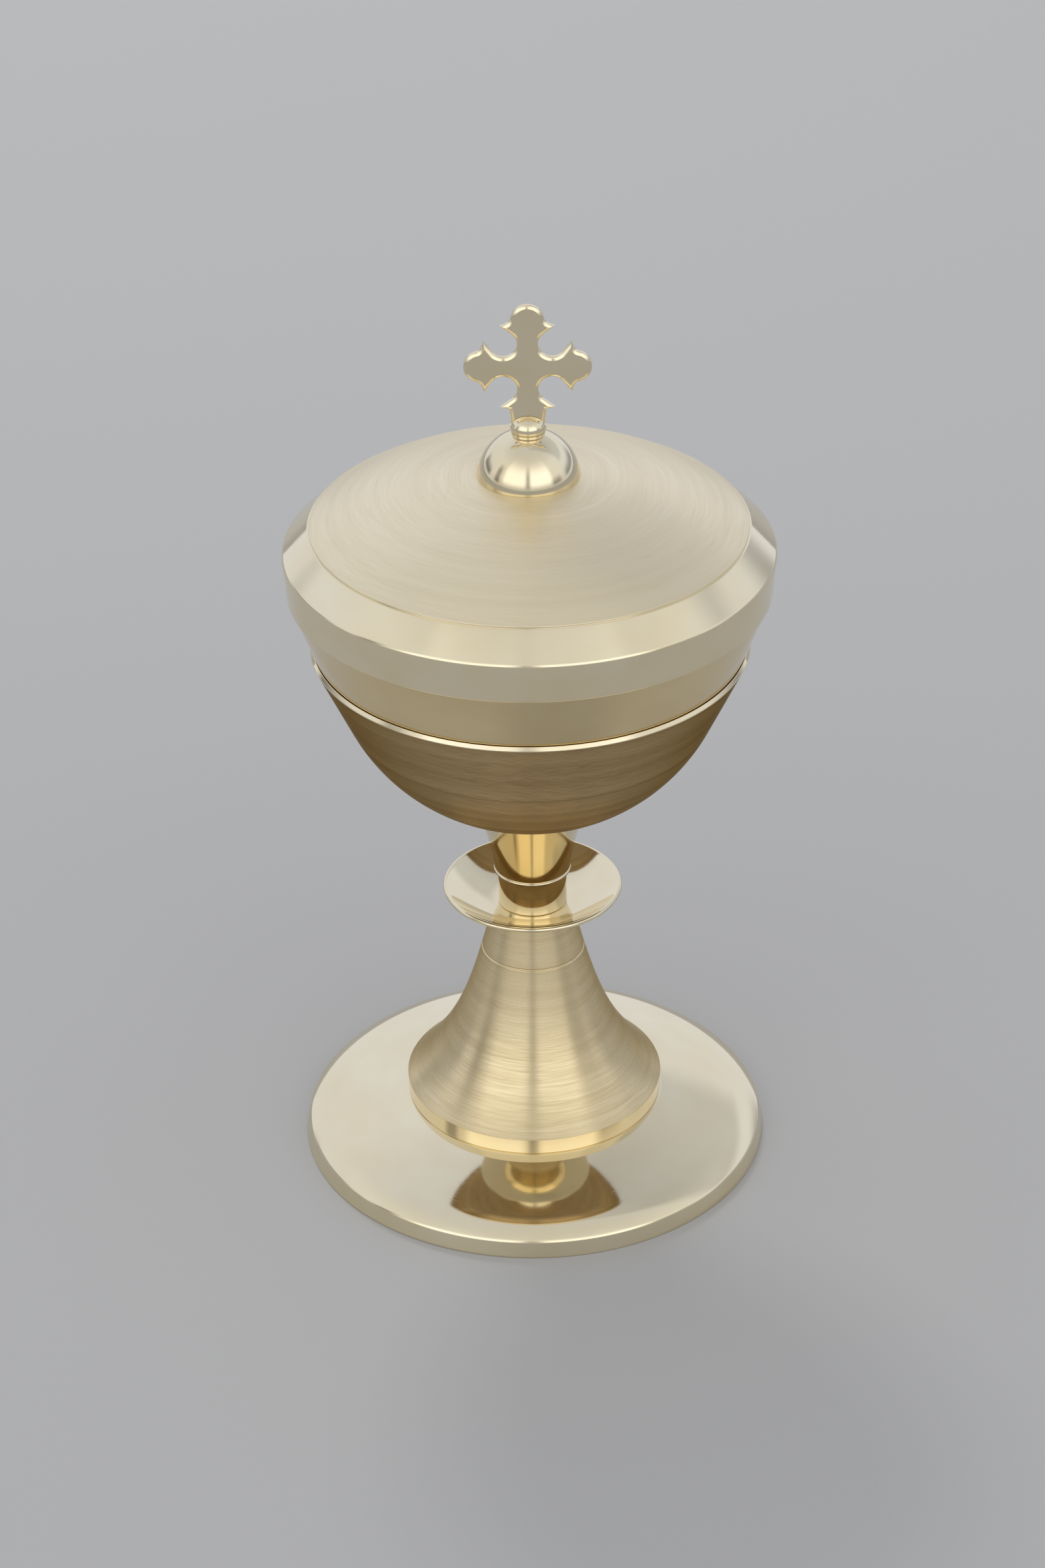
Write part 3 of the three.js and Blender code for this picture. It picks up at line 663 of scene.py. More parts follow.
@dataclass(frozen=True)
class Fastening:
    """A threaded rod with its nut and its washer.

    face_rows are the shares of the nut's half width at which its ends have further rings of
    points, so that they shade flat up to the corners.
    """

    rod: str
    nut: str
    washer: str
    body: Body
    pitch: float
    thread_depth: float
    nut_across: float
    chamfer: float = 0.35
    corner_slope: float = 30.0
    edge_ease: float = 0.08
    face_rows: tuple[float, float] = (0.93, 0.97)
    nut_sharp: float = 25.0
    washer_play: float = 0.3
    washer_ease: float = 0.3
    steps_per_pitch: int = 10
    steps_around: int = 32
    ridge_slope: float = 2.4
    ridge_flat: float = 0.1
    end_depths: float = 1.2

    def thread(self) -> bpy.types.Mesh:
        """Mesh of the rod with its screw thread.

        At height z and turn t the radius is the rod's radius less thread_depth times a ridge
        wave of the phase z / pitch - t / (2 pi). The wave is 0 on the crests and 1 in the
        grooves, with flats at both. Towards an end the radius is held under a 45 degree chamfer
        that starts end_depths thread depths below the rod's radius.
        """
        bottom, top = levels(self.rod)
        radius = reach(self.rod)
        steps = int((top - bottom) / self.pitch * self.steps_per_pitch)
        height = np.linspace(bottom, top, steps + 1)[:, None]
        turn = np.linspace(0, 2 * math.pi, self.steps_around, endpoint=False)[None]
        phase = np.mod(height / self.pitch - turn / (2 * math.pi), 1.0)
        ridge = np.clip(self.ridge_slope * np.abs(phase - 0.5) - self.ridge_flat, 0, 1)
        end = radius - self.end_depths * self.thread_depth + np.minimum(height - bottom, top - height)
        reached = np.minimum(radius - self.thread_depth * ridge, end)
        points = np.stack(
            (reached * np.cos(turn), reached * np.sin(turn), np.broadcast_to(height, reached.shape)), axis=-1
        )
        return skin(self.rod, points, False, np.zeros(len(points), int))

    def hexagon(self) -> bpy.types.Mesh:
        """Mesh of the nut.

        Its side lies at apothem / cos(t - middle of the flat). Its two ends are flat up to the
        apothem and slope off beyond it, which curves the upper edge of each flat. Both ends are
        made from one list of radii and distances from the end, from the bore outwards.
        """
        bottom, top = levels(self.nut)
        hole = reach(self.rod) + FIT
        apothem = self.nut_across / 2
        turn = np.linspace(0, 2 * math.pi, AROUND_SMALL, endpoint=False)
        side = apothem / np.cos(np.mod(turn, math.pi / 3) - math.pi / 6)
        slope = (side - apothem) * math.tan(math.radians(self.corner_slope))
        rows = [(hole, self.chamfer), (hole + self.chamfer, 0.0)]
        rows += [(apothem * share, 0.0) for share in self.face_rows]
        rows += [(side - self.edge_ease, slope), (side, slope + self.edge_ease)]
        ends = [(r, bottom + z) for r, z in rows] + [(r, top - z) for r, z in reversed(rows)]
        flat = np.ones_like(turn)
        rings = [np.stack((r * np.cos(turn), r * np.sin(turn), z * flat), axis=-1) for r, z in ends]
        return skin(self.nut, np.stack(rings), True, np.zeros(len(rings), int), self.nut_sharp)

    def build(self, finishes: Finishes) -> None:
        """Makes and places the three pieces."""
        ring = tube(self.washer, reach(self.rod) + self.washer_play, self.washer_ease, AROUND_SMALL)
        for node, mesh in ((self.rod, self.thread()), (self.nut, self.hexagon()), (self.washer, ring)):
            Piece(node, self.body, Slot.PLAIN, (finishes.machined,)).place(mesh)


@dataclass(frozen=True)
class Foot:
    """The spun foot: low crown, rounded shoulder, short leaning wall and turned-in hem."""

    seat_radius: float = 31.0
    crown_radius: float = 170.0
    shoulder_radius: float = 16.4
    shoulder_width: float = 7.2
    corner_radius: float = 1.4
    wall_height: float = 3.65
    wall_lean: float = 0.85
    sheet: float = 1.0
    hem_width: float = 3.0
    hem_height: float = 1.6
    lining_gap: float = 0.5

    @staticmethod
    def falling_arc(
        start: np.ndarray, radius: float, slope: float, end_slope: float, steps: int
    ) -> np.ndarray:
        """Arc from a point, whose slope below level grows from one value to another, in degrees."""
        lean = math.radians(slope)
        centre = (start[0] - radius * math.sin(lean), start[1] - radius * math.cos(lean))
        return arc(centre, radius, 90 - slope, 90 - end_slope, steps)

    def top(self) -> np.ndarray:
        """Outline of the visible top from the bell's seat to the top of the wall.

        The crown's arc hands over to the shoulder's at the shoulder's inner radius. The slope
        where the shoulder hands over to the corner is the one for which the corner's arc ends
        on the wall: its sine is the width that is left for the two arcs, over their radii's
        difference.
        """
        outer = reach("base_shell")
        start = outer - self.shoulder_width
        wall_top = outer - self.wall_lean
        wall = math.degrees(math.atan2(self.wall_lean, self.wall_height))
        seat_slope = math.degrees(math.asin(self.seat_radius / self.crown_radius))
        start_slope = math.degrees(math.asin(start / self.crown_radius))
        left = wall_top - start + self.shoulder_radius * math.sin(math.radians(start_slope))
        left -= self.corner_radius * math.cos(math.radians(wall))
        handover = math.degrees(math.asin(left / (self.shoulder_radius - self.corner_radius)))
        seat = np.array((self.seat_radius, levels("base_shell")[1]))
        crown = self.falling_arc(seat, self.crown_radius, seat_slope, start_slope, steps=24)
        shoulder = self.falling_arc(crown[-1], self.shoulder_radius, start_slope, handover, steps=20)
        corner = self.falling_arc(shoulder[-1], self.corner_radius, handover, 90 - wall, steps=14)
        return np.vstack((crown, shoulder[1:], corner[1:]))

    def build(self, finishes: Finishes) -> None:
        """Makes and places the shell and its fastening."""
        bottom, top = levels("base_shell")
        outer = reach("base_shell")
        hem = outer - self.hem_width
        inner = outer - self.wall_lean * self.hem_height / self.wall_height - self.sheet
        upper = np.vstack(((ROD_BORE, top), self.top(), (outer, bottom)))
        lining = offset(upper, self.sheet)[1:-1]
        lining = lining[lining[:, 1] > self.hem_height + self.lining_gap]
        outline = Outline().draw(upper).draw([(outer, bottom), (hem, bottom), (hem, self.hem_height)])
        outline.draw([(hem, self.hem_height), (inner, self.hem_height)], 1)
        outline.draw(lining[::-1], 1).draw([(ROD_BORE, top - self.sheet)], 1)
        piece = Piece("base_shell", Body.VESSEL, Slot.POLISHED, (finishes.polished, finishes.machined))
        piece.place(turned("base_shell", outline.eased(cut=0.35)))
        pieces = ("tie_rod", "base_nut", "base_washer")
        Fastening(*pieces, Body.VESSEL, pitch=1.0, thread_depth=0.5, nut_across=10.0).build(finishes)


@dataclass(frozen=True)
class Stem:
    """The bell, the dish round the stem and the two collars up to the bowl.

    line_edges, line_margin and line_bed are shares of the turned line's width: where its
    section has points, how far from its middle the flare's own points stop, and its half bed.
    """

    band_height: float = 4.0
    cone_share: float = 0.57
    curl_power: float = 4.0
    bell_wall: float = 1.5
    bell_cap: float = 3.0
    bell_top_radius: float = 9.4
    bell_foot_ease: float = 0.25
    bell_band_ease: float = 0.15
    flare_crowding: float = 1.3
    lining_stride: int = 3
    line_height: float = 36.3
    line_width: float = 0.6
    line_depth: float = 0.2
    line_edges: tuple[float, ...] = (-0.5, -0.2, 0.2, 0.5)
    line_margin: float = 0.8
    line_bed: float = 0.3
    dish_sheet: float = 1.2
    dish_rise: float = 4.7
    dish_power: float = 1.8
    dish_under_gap: float = 0.05
    collar_edge: float = 0.3
    neck_radius: float = 9.05
    neck_power: float = 1.6
    lip_height: float = 0.9
    lip_proud: float = 0.18
    lip_span: tuple[float, float] = (-80.0, 70.0)
    boss_play: float = 0.3

    def bell_radius(self, height: np.ndarray) -> np.ndarray:
        """Radius of the bell at a height.

        It is the top radius plus the rest times (1 - cone share) f^power + cone share * f,
        where f is the share of the flare's height that lies above.
        """
        bottom, top = levels("bell_stem")
        fall = (top - height) / (top - bottom - self.band_height)
        curl = (1 - self.cone_share) * fall**self.curl_power + self.cone_share * fall
        return self.bell_top_radius + (reach("bell_stem") - self.bell_top_radius) * curl

    def bell(self) -> bpy.types.Mesh:
        """Mesh of the bell: polished band, brushed flare with its turned line, and hollow inside."""
        bottom, top = levels("bell_stem")
        band_top = bottom + self.band_height
        line = band_top + self.line_height
        height = band_top + (top - band_top) * np.linspace(0, 1, num=72) ** self.flare_crowding
        height = height[np.abs(height - line) > self.line_margin * self.line_width]
        height = np.sort(np.concatenate((height, np.array(self.line_edges) * self.line_width + line)))
        radius = self.bell_radius(height)
        radius[np.abs(height - line) < self.line_bed * self.line_width] -= self.line_depth
        outer = reach("bell_stem")
        roof = top - self.bell_cap
        hollow = height[height < roof - self.bell_wall][::-self.lining_stride]
        outline = Outline().draw(
            [
                (outer - self.bell_foot_ease, bottom),
                (outer, bottom + self.bell_foot_ease),
                (outer, band_top - self.bell_band_ease),
            ]
        )
        outline.draw(np.column_stack((radius, height)), 1)
        outline.draw([(ROD_BORE, top), (ROD_BORE, roof)], 2)
        outline.draw([(self.bell_radius(np.array(roof)) - self.bell_wall, roof)], 2)
        outline.draw(np.column_stack((self.bell_radius(hollow) - self.bell_wall, hollow)), 2)
        outline.draw([(outer - self.bell_wall, bottom)], 2)
        return turned("bell_stem", outline.eased(cut=0.12))

    def dish(self) -> bpy.types.Mesh:
        """Mesh of the thin dish.

        Its upper side rises from the collar by rise * share^power, and a half round of the
        sheet's thickness joins it to its underside.
        """
        low = levels("knop_saucer")[0]
        pad = levels("lower_collar")[0]
        inner, outer = reach("lower_collar"), reach("knop_saucer")
        half = self.dish_sheet / 2
        slope = math.atan(self.dish_rise * self.dish_power / (outer - inner))
        end = outer - half * (1 + math.sin(slope))
        share = np.linspace(0, 1, num=40)
        rise = self.dish_rise * share**self.dish_power
        upper = np.column_stack((inner + (end - inner) * share, pad + rise))
        under = offset(upper, self.dish_sheet)
        centre = (upper[-1] + under[-1]) / 2
        tilt = math.degrees(math.atan2(upper[-1, 1] - under[-1, 1], upper[-1, 0] - under[-1, 0]))
        rim = arc(centre, half, tilt - 180, tilt, steps=10)
        under = under[under[:, 1] > low + self.dish_under_gap]
        outline = Outline().draw([(ROD_BORE, low), (self.bell_top_radius, low)])
        outline.draw(under).draw(rim).draw(upper[::-1]).draw([(ROD_BORE, pad)])
        return turned("knop_saucer", outline.eased(cut=0.2))

    def neck(self, seat: np.ndarray) -> bpy.types.Mesh:
        """Mesh of the flared neck.

        Its radius grows from the foot by flare * share^power, over a small round lip, and its
        top follows the bowl.

        Args:
            seat: underside of the bowl from the neck's outer edge inwards.
        """
        bottom = levels("upper_collar")[0]
        high = seat[0, 1]
        share = np.linspace(0, 1, num=48)
        radius = self.neck_radius + (seat[0, 0] - self.neck_radius) * share**self.neck_power
        flare = np.column_stack((radius, bottom + (high - bottom) * share))
        flare = flare[flare[:, 1] > bottom + self.lip_height + FIT]
        round_edge = self.lip_height / 2
        middle = (self.neck_radius + self.lip_proud - round_edge, bottom + round_edge)
        lip = arc(middle, round_edge, *self.lip_span, steps=10)
        recess = levels("cup_boss")[0] - self.boss_play
        outline = Outline().draw([(ROD_BORE, bottom)]).draw(lip).draw(flare).draw(seat)
        outline.draw([(reach("cup_boss") + FIT, recess), (ROD_BORE, recess)])
        return turned("upper_collar", outline.eased(cut=0.15))

    def build(self, finishes: Finishes, seat: np.ndarray) -> None:
        """Makes and places the pieces of the stem."""
        bell = (finishes.polished, finishes.bell_brushed, finishes.machined)
        Piece("bell_stem", Body.VESSEL, Slot.BRUSHED, bell).place(self.bell())
        for node, mesh in (
            ("knop_saucer", self.dish()),
            ("lower_collar", tube("lower_collar", ROD_BORE, self.collar_edge)),
            ("upper_collar", self.neck(seat)),
        ):
            Piece(node, Body.VESSEL, Slot.POLISHED, (finishes.polished,)).place(mesh)


@dataclass(frozen=True)
class Bowl:
    """The brushed outer shell, the gilt cup inside it, and the boss that the tie rod grips."""

    arc_radius: float = 46.0
    arc_offset: float = 1.11
    cone_angle: float = 25.0
    neck_top_radius: float = 14.0
    rim_height: float = 42.7
    shell_sheet: float = 1.0
    rim_chamfer: float = 0.8
    rim_land: float = 0.15
    band_angle: float = 20.5
    cup_sheet: float = 0.9
    floor_radius: float = 8.0
    boss_edge: float = 0.3

    @property
    def centre(self) -> tuple[float, float]:
        """Middle of the bowl's arc: so high that the cone's end lies at the shell's rim."""
        rim = levels("outer_bowl")[1]
        run = self.arc_radius**2 - (self.neck_top_radius - self.arc_offset) ** 2
        return self.arc_offset, rim - self.rim_height + math.sqrt(run)

    def angle(self, radius: float, arc_radius: float) -> float:
        """Angle on an arc about the centre of a point below it at a given radius, in degrees."""
        return -math.degrees(math.acos((radius - self.arc_offset) / arc_radius))

    def side(self, inset: float, start: float, top: float) -> np.ndarray:
        """Outline of the bowl: an arc that runs into a cone at the cone's angle.

        Args:
            inset: how far the outline lies inside the outer shell.
            start: radius of its first point.
            top: height of its last point.
        """
        radius = self.arc_radius - inset
        round_part = arc(self.centre, radius, self.angle(start, radius), -self.cone_angle, steps=56)
        end = round_part[-1]
        lean = math.tan(math.radians(self.cone_angle))
        height = np.linspace(end[1], top, num=8)[1:]
        return np.vstack((round_part, np.column_stack((end[0] + (height - end[1]) * lean, height))))

    def neck_seat(self) -> np.ndarray:
        """Underside of the shell where the neck carries it, from its outer edge to the boss."""
        start = self.angle(self.neck_top_radius, self.arc_radius)
        end = self.angle(reach("cup_boss") + FIT, self.arc_radius)
        return arc(self.centre, self.arc_radius + FIT, start, end, steps=12)

    def shell(self) -> bpy.types.Mesh:
        """Mesh of the brushed shell, with the polished chamfer of its rim."""
        rim = levels("outer_bowl")[1]
        hole = reach("cup_boss") + FIT
        inside = self.side(self.shell_sheet, hole, rim)
        outline = Outline().draw(self.side(0, hole, rim - self.rim_chamfer))
        outline.draw([outline.points[-1], (inside[-1, 0] + self.rim_land, rim)], 1)
        outline.draw(inside[::-1], 2)
        return turned("outer_bowl", outline.eased(cut=0.12))

    def cup(self) -> bpy.types.Mesh:
        """Mesh of the gilt cup: nested bottom, polished band, rounded lip and inside."""
        bottom, top = levels("cup")
        rim = levels("outer_bowl")[1]
        lean = math.tan(math.radians(self.band_angle))
        nested = self.side(self.shell_sheet + FIT, self.floor_radius, rim)
        height = np.linspace(rim, top, num=10)[1:]
        band = np.column_stack((nested[-1, 0] + (height - rim) * lean, height))
        outside = np.vstack(((0.0, bottom), nested, band))
        inside = offset(outside, -self.cup_sheet)
        inside[0, 0] = 0.0
        inside[-1, 1] = top
        outline = Outline().draw(outside).draw(inside[::-1], 1)
        return turned("cup", outline.eased(cut=0.3, steps=6))

    def build(self, finishes: Finishes) -> None:
        """Makes and places the pieces of the bowl."""
        shell = (finishes.bowl_brushed, finishes.polished, finishes.machined)
        Piece("outer_bowl", Body.VESSEL, Slot.BRUSHED, shell).place(self.shell())
        Piece("cup", Body.VESSEL, Slot.POLISHED, (finishes.cup_gilt, finishes.lining)).place(self.cup())
        boss = tube("cup_boss", reach("tie_rod") + FIT, self.boss_edge, AROUND_SMALL)
        Piece("cup_boss", Body.VESSEL, Slot.PLAIN, (finishes.machined,)).place(boss)


@dataclass(frozen=True)
class Lid:
    """The lid with its upright band, bevel, fine step and brushed dome, and its locating ring."""

    band_height: float = 8.6
    band_lean: float = 0.65
    corner_radius: float = 1.3
    bevel_angle: float = 45.0
    bevel_width: float = 5.6
    step_height: float = 0.4
    step_width: float = 0.35
    dome_power: float = 2.5
    sheet: float = 1.1
    ring_sheet: float = 0.8
    ring_clearance: float = 0.5
    ring_shelf: float = 0.8

    def side(self) -> np.ndarray:
        """Outline of the band, the rounded corner and the bevel, from the lower edge up."""
        outer, bottom = reach("lid_cover"), levels("lid_cover")[0]
        lean = math.degrees(math.atan2(self.band_lean, self.band_height))
        centre = (outer - self.corner_radius, bottom + self.band_height)
        corner = arc(centre, self.corner_radius, -lean, 90 - self.bevel_angle, steps=14)
        rise = self.bevel_width * math.tan(math.radians(self.bevel_angle))
        return np.vstack(((outer - self.band_lean, bottom), corner, corner[-1] + (-self.bevel_width, rise)))

    def dome(self) -> np.ndarray:
        """Outline of the dome: its height falls from the crown by (radius / rim radius)^power."""
        start = self.side()[-1] + (-self.step_width, self.step_height)
        pad, top = reach("finial_boss"), levels("lid_cover")[1]
        radius = np.linspace(start[0], pad, num=72)
        shape = 1 - (radius / start[0]) ** self.dome_power
        rise = (top - start[1]) / shape[-1]
        return np.column_stack((radius, start[1] + rise * shape))

    def cover(self) -> bpy.types.Mesh:
        """Mesh of the lid, with its polished side, its brushed dome and its lining."""
        side, dome = self.side(), self.dome()
        top = levels("lid_cover")[1]
        lining = offset(np.vstack((side[:-1], dome, (STUD_BORE, top))), -self.sheet)
        lining[0, 1] = side[0, 1]
        outline = Outline().draw(side)
        outline.draw([side[-1], (dome[0, 0], side[-1, 1]), dome[0]])
        outline.draw(dome, 1).draw([dome[-1], (STUD_BORE, top)], 1)
        outline.draw(lining[::-1], 2)
        return turned("lid_cover", outline.eased(cut=0.14))

    def ring(self, bowl: Bowl) -> bpy.types.Mesh:
        """Mesh of the ring inside the lid: a sleeve in the band and a skirt that follows the cup."""
        bottom, top = levels("lid_locating_ring")
        foot, lip = levels("lid_cover")[0], levels("cup")[1]
        lean = math.radians(bowl.band_angle)
        sleeve = reach("lid_locating_ring")
        skirt = min(reach("cup") - bowl.cup_sheet / math.cos(lean) - self.ring_clearance, sleeve)
        low = skirt - (lip - bottom) * math.tan(lean)
        shelf = foot + self.ring_shelf
        sheet = self.ring_sheet
        outer = [(low, bottom), (skirt, lip), (skirt, shelf - sheet / 2), (sleeve, shelf), (sleeve, top)]
        inner = [(sleeve - sheet, top), (sleeve - sheet, shelf + sheet), (skirt - sheet, foot)]
        outline = Outline().draw([*outer, *inner, (low - sheet, bottom)])
        return turned("lid_locating_ring", outline.eased(cut=0.3))

    def build(self, finishes: Finishes, bowl: Bowl) -> None:
        """Makes and places the lid and its ring, which fits into the bowl's cup."""
        cover = (finishes.polished, finishes.dome_brushed, finishes.machined)
        Piece("lid_cover", Body.LID, Slot.BRUSHED, cover).place(self.cover())
        Piece("lid_locating_ring", Body.LID, Slot.PLAIN, (finishes.machined,)).place(self.ring(bowl))


@dataclass(frozen=True)
class Finial:
    """The half ball, the bead with its slot, the cross and their fastening.

    The bevel's rings lie at even shares raised to the power bevel_crowding, which makes the
    steps between their slopes about even. sound_share is the least distance from the outline
    at which an inset point is kept, as a share of the bevel's width.
    """

    ball_sink: float = 1.2
    ball_flat_radius: float = 3.4
    bead_foot_radius: float = 3.8
    bead_foot_height: float = 0.2
    bead_radius: float = 4.1
    bead_crown: float = 2.95
    groove_depth: float = 0.1
    thread_hole: float = 2.1
    hole_runout: float = 0.2
    cutter_margin: float = 1.0
    slot_sharp: float = 30.0
    centre_below_top: float = 14.9
    bevel_width: float = 0.75
    bevel_depth: float = 0.6
    bevel_start: float = 45.0
    bevel_rings: int = 8
    bevel_crowding: float = 0.6
    bevel_sharp: float = 20.0
    sound_share: float = 0.97
    weld_distance: float = 0.0001
    flat_normal: float = 0.999
    tip_radius: float = 3.7
    side_arm: float = 14.3
    barb_reach: float = 9.85
    barb_spread: float = 6.05
    hollow_reach: float = 0.45
    hollow_spread: float = 4.0
    tip_sweep: float = 80.0
    scoop_radius: float = 3.15
    waist: float = 4.7
    ankle_reach: float = 10.35
    ankle_width: float = 8.2
    foot_width: float = 7.2

    def half_ball(self) -> bpy.types.Mesh:
        """Mesh of the half ball, whose centre lies a little below the lid's top."""
        bottom = levels("finial_boss")[0]
        radius = math.hypot(reach("finial_boss"), self.ball_sink)
        start = math.degrees(math.asin(self.ball_sink / radius))
        end = math.degrees(math.acos(self.ball_flat_radius / radius))
        ball = arc((0, bottom - self.ball_sink), radius, start, end, steps=48)
        outline = Outline().draw([(STUD_BORE, bottom)]).draw(ball).draw([(STUD_BORE, ball[-1, 1])])
        return turned("finial_boss", outline.eased(cut=0.2))

    def bead(self) -> bpy.types.Mesh:
        """Mesh of the bead, with the slot for the cross cut out of it.

        Below its widest part it is a ball, and above that the half of an ellipse: its point at
        the angle t is (radius * cos t, crown * sin t).
        """
        bottom = levels("finial_collar")[0]
        foot_top = bottom + self.bead_foot_height
        low = math.degrees(math.acos(self.bead_foot_radius / self.bead_radius))
        middle = foot_top + self.bead_radius * math.sin(math.radians(low))
        top = middle + self.bead_crown
        crown = arc((0, 0), 1.0, 0, 90, steps=20)[:-1] * (self.bead_radius, self.bead_crown) + (0, middle)
        waist = (self.bead_foot_radius - self.groove_depth, bottom + self.bead_foot_height / 2)
        floor = levels("cross")[0] - FIT
        hole_end = floor + self.hole_runout
        outline = Outline().draw([(0, hole_end), (self.thread_hole, hole_end), (self.thread_hole, bottom)])
        outline.draw([(self.bead_foot_radius, bottom), waist])
        outline.draw(arc((0, middle), self.bead_radius, -low, 0, steps=12)).draw(crown).draw([(0, top)])
        mesh = turned("finial_collar", outline.eased(cut=0.12), AROUND_SMALL)
        return self.slotted(mesh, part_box("cross")[1].y / MM + FIT, floor, top + self.cutter_margin)

    def slotted(self, mesh: bpy.types.Mesh, half: float, floor: float, top: float) -> bpy.types.Mesh:
        """Cuts a straight slot across the bead with a box, by a boolean that is applied at once.

        Args:
            mesh: the whole bead.
            half: half the slot's width in millimetres.
            floor: height of the slot's floor.
            top: height of the box's upper side, above the bead.

        Returns:
            The cut mesh.
        """
        wide = self.bead_radius + self.cutter_margin
        corners = [(x, y, z) for x in (-wide, wide) for y in (-half, half) for z in (floor, top)]
        sides = [(0, 1, 3, 2), (4, 6, 7, 5), (0, 4, 5, 1), (2, 3, 7, 6), (0, 2, 6, 4), (1, 5, 7, 3)]
        box = bpy.data.meshes.new("slot")
        box.from_pydata((np.array(corners) * MM).tolist(), [], sides)
        cutter, whole = add_object("slot", box), add_object("bead", mesh)
        cut = whole.modifiers.new("slot", "BOOLEAN")
        cut.operation = "DIFFERENCE"
        cut.solver = "EXACT"
        cut.object = cutter
        bpy.context.view_layer.update()
        made = bpy.data.meshes.new_from_object(whole.evaluated_get(bpy.context.evaluated_depsgraph_get()))
        for spent in (cutter, whole):
            bpy.data.objects.remove(spent)
        made.materials.clear()
        made.set_sharp_from_angle(angle=math.radians(self.slot_sharp))
        return made

    def arm_end(self, length: float) -> np.ndarray:
        """Half of an arm's end, from its barb to the middle of its round tip, as (out, across).

        A hollow curve (1-t)^2 a + 2 t (1-t) c + t^2 b joins the barb a to the tip's arc at b,
        with c just under the barb, so that the curve turns sharply there.
        """
        centre = length - self.tip_radius
        tip = arc((centre, 0), self.tip_radius, self.tip_sweep, 0, steps=20)
        barb = np.array((self.barb_reach, self.barb_spread))
        pull = np.array((self.barb_reach + self.hollow_reach, self.hollow_spread))
        t = np.linspace(0, 1, num=9)[:-1, None]
        hollow = (1 - t) ** 2 * barb + 2 * t * (1 - t) * pull + t**2 * tip[0]
        return np.vstack((hollow, tip))

    def foot_end(self, length: float) -> np.ndarray:
        """Half of the lower arm's end, from its barb over the ankle to the corner of its foot."""
        ankle = (self.ankle_reach, self.ankle_width / 2)
        return np.array(((self.barb_reach, self.barb_spread), ankle, (length, self.foot_width / 2)))

    def outline(self, foot_length: float) -> np.ndarray:
        """Outline of the cross, anticlockwise, about its centre.

        Each arm is drawn as the right-hand one and turned by quarters. Between two arms lies a
        half round scoop, whose centre is on the diagonal.
        """
        middle = self.waist / 2 + self.scoop_radius
        scoop = arc((middle, middle), self.scoop_radius, -45, -225, steps=22)
        side, top = self.arm_end(self.side_arm), self.arm_end(self.centre_below_top)
        stretches = []
        for quarter, end in enumerate((side, top, side, self.foot_end(foot_length))):
            upper = end[::-1]
            whole = np.vstack((end * (1, -1), upper[np.abs(upper[:, 1]) > TOUCH], scoop))
            turn = quarter * math.pi / 2
            turned_by = np.array(((math.cos(turn), math.sin(turn)), (-math.sin(turn), math.cos(turn))))
            stretches.append(whole @ turned_by)
        return np.vstack(stretches)

    def inset(self, edge: np.ndarray) -> np.ndarray:
        """The cross's outline moved inwards by the bevel's width.

        Beside a sharp barb the moved points of its two sides would pass each other. They are the
        ones that lie nearer to the outline than the bevel's width, and each is set on the nearest
        point along the outline that does not.
        """
        closed = np.vstack((edge[-1:], edge, edge[:1]))
        moved = offset(closed, -self.bevel_width)[1:-1]
        along = np.roll(edge, -1, axis=0) - edge
        gap = moved[:, None] - edge[None]
        share = np.clip(np.sum(gap * along, axis=2) / np.sum(along**2, axis=1), 0, 1)
        away = np.linalg.norm(gap - share[..., None] * along, axis=2).min(axis=1)
        sound = np.flatnonzero(away > self.sound_share * self.bevel_width)
        steps = np.arange(len(edge))[:, None] - sound[None]
        around = np.abs((steps + len(edge) // 2) % len(edge) - len(edge) // 2)
        return moved[sound[around.argmin(axis=1)]]

    def cross(self) -> bpy.types.Mesh:
        """Mesh of the cross: two flat faces, a rounded bevel round each, and the edge between them.

        Each ring lies between the outline and the inset one. From the face to the edge its
        share of the bevel's width is (1 - sin t) / (1 - sin 45) and its share of the bevel's
        depth is 1 - cos t / cos 45, with t from 45 to 90 degrees. The rings meet beside the
        barbs, where their points are joined, and the two faces stay flat.
        """
        low_corner, high_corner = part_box("cross")
        bottom, top = low_corner.z / MM, high_corner.z / MM
        half = (high_corner.y - low_corner.y) / MM / 2
        centre = top - self.centre_below_top
        edge = self.outline(centre - bottom)
        inward = self.inset(edge) - edge
        share = np.linspace(0, 1, self.bevel_rings) ** self.bevel_crowding
        turn = np.radians(self.bevel_start + (90 - self.bevel_start) * share)
        width = (1 - np.sin(turn)) / (1 - np.sin(turn[0]))
        depth = self.bevel_depth * (1 - np.cos(turn) / np.cos(turn[0])) - half
        ring = edge[None] + inward[None] * np.concatenate((width, width[::-1]))[:, None, None]
        across = np.broadcast_to(np.concatenate((depth, -depth[::-1]))[:, None], ring.shape[:2])
        points = np.stack((ring[..., 0], across, ring[..., 1] + centre), axis=-1)
        rows, count = points.shape[:2]
        index = np.arange(rows * count).reshape(rows, count)
        following = np.roll(index, -1, axis=1)
        quads = np.stack((index[:-1], index[1:], following[1:], following[:-1]), axis=-1)
        faces = quads.reshape(-1, 4).tolist() + [index[0].tolist(), index[-1][::-1].tolist()]
        flat = points.reshape(-1, 3)[:, (0, 2)] * MM
        corner = np.concatenate([np.asarray(face) for face in faces])
        mesh = bpy.data.meshes.new("cross")
        mesh.from_pydata((points.reshape(-1, 3) * MM).tolist(), [], faces)
        mesh.uv_layers.new(name="outline").data.foreach_set("uv", flat[corner].ravel())
        joined = bmesh.new()
        joined.from_mesh(mesh)
        bmesh.ops.remove_doubles(joined, verts=joined.verts, dist=self.weld_distance * MM)
        joined.to_mesh(mesh)
        joined.free()
        mesh.validate()
        mesh.set_sharp_from_angle(angle=math.radians(self.bevel_sharp))
